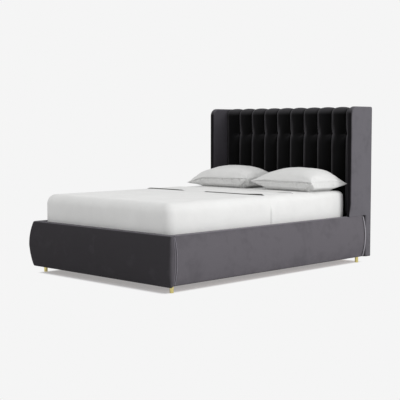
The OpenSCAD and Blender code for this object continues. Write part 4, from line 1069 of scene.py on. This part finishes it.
# Timber: birch plywood boards, pine blocks and battens, brown hardboard panels and laminated birch slats.
# The grain runs along each piece in fine dark lines, closer in birch than in pine, and hardboard is flecked.
def timber(name, pale, dark, length, grain_mm, gloss=0.6, axis=0):
    """A wood with lines grain_mm apart along one axis, length times as long as they are wide."""
    made, shader, where = finish(name)
    scale = [1000 / grain_mm / 6] * 3
    scale[axis] /= length
    laid = add(made, "Mapping", {"Vector": where, "Scale": scale})
    figure = add(made, "TexNoise", {
        "Vector": laid, "Scale": 1.0, "Detail": 6.0, "Roughness": 0.65, "Distortion": 0.6}).outputs["Fac"]
    pores = add(made, "TexNoise", {
        "Vector": laid, "Scale": 6.0, "Detail": 3.0, "Roughness": 0.7}).outputs["Fac"]
    both = add(made, "Math", {0: figure, 1: pores}, operation="ADD")
    half = add(made, "Math", {0: both, 1: 0.5}, operation="MULTIPLY")
    colour = add(made, "ValToRGB", {"Fac": half}, [(0.36, dark), (0.62, pale)])
    rough = add(made, "MapRange", {"Value": pores, "To Min": gloss - 0.1, "To Max": gloss + 0.15})
    raised = add(made, "Bump", {"Height": half, "Strength": 0.25, "Distance": 0.0006})
    feed(made, shader, {
        "Base Color": colour, "Roughness": rough, "Normal": raised})
    return made


def dress(material, *names, slot=None):
    """Gives a finish to the CAD nodes named, or to all that the record gives a material slot."""
    slotted = [row["node"] for row in frame["record"]["subparts"] if row["material_slot"] == slot]
    for name in list(names) + slotted:
        node[name].data.materials.clear()
        node[name].data.materials.append(material)


dress(timber("birch_plywood", "D2B68A", "AF8F62", 14, 2.4, axis=1),
      "side_rail_board_left", "side_rail_board_right", "wing_cores")
dress(timber("black_stained_plywood", "2B2826", "1A1817", 14, 2.4), "footboard_board", "headboard_panel")
dress(timber("planed_pine", "DDBE8A", "BE935A", 10, 4.0, axis=2), "corner_blocks", "headboard_battens")
dress(timber("planed_pine_along", "DDBE8A", "BE935A", 10, 4.0, axis=1), "centre_beam", "floor_ledges")
dress(timber("brown_hardboard", "83593A", "6B452B", 1, 1.2, gloss=0.5), slot="hardboard")
dress(timber("laminated_birch_slats", "E0C597", "C9A673", 16, 2.0, gloss=0.4), slot="birch")


# Metal and plastic: powder-coated steel tubes and arms with a fine orange-peel face, zinc-plated bolts and
# pins with a mottled shine, smooth hard-chromed rods, brass legs turned to a satin, moulded nylon caps and
# feet, and rubber buffers. The grain that shows in each is given in mm.
def metal(name, dark, pale, roughness, grain_mm, metallic=1.0, bump=0.15, spread=0.12, stretch=(1, 1, 1)):
    made, shader, where = finish(name)
    laid = add(made, "Mapping", {"Vector": where, "Scale": stretch})
    grain = add(made, "TexNoise", {"Vector": laid, "Scale": 1000 / grain_mm, "Detail": 4.0}).outputs["Fac"]
    colour = add(made, "ValToRGB", {"Fac": grain}, [(0.3, dark), (0.7, pale)])
    rough = add(made, "MapRange", {
        "Value": grain, "To Min": roughness - spread / 2, "To Max": roughness + spread / 2})
    raised = add(made, "Bump", {"Height": grain, "Strength": bump, "Distance": 0.0003})
    feed(made, shader, {
        "Base Color": colour, "Roughness": rough, "Normal": raised,
        "Metallic": metallic})
    return made


dress(metal("black_powder_coated_steel", "1A1A1C", "232325", 0.42, 1.111, metallic=0.0), slot="black_steel")
dress(metal("bright_zinc_plate", "A9ABAE", "C6C8CB", 0.34, 3.333), slot="zinc")
dress(metal("hard_chrome_rod", "C9CACC", "D6D7D9", 0.12, 2, bump=0.02, spread=0.05), slot="polished_steel")
dress(metal("satin_brass", "C6B873", "DACD90", 0.26, 4.545, stretch=(1, 1, 12), bump=0.08), slot="brass")
dress(metal("black_moulded_nylon", "1C1C1D", "262627", 0.5, 2, metallic=0.0), slot="black_plastic")
dress(metal("black_rubber", "161616", "1F1F1F", 0.75, 1.4286, metallic=0.0), slot="rubber")

for name in node:
    solid = node[name]
    if not solid.hide_render:
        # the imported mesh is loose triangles: welded and split at its corners, its round faces shade round
        solid.data.polygons.foreach_set("use_smooth", [True] * len(solid.data.polygons))
        weld = solid.modifiers.new("weld", "WELD")
        weld.merge_threshold = WELD
        split = solid.modifiers.new("corners", "EDGE_SPLIT")
        split.split_angle = math.radians(32)

low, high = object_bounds()
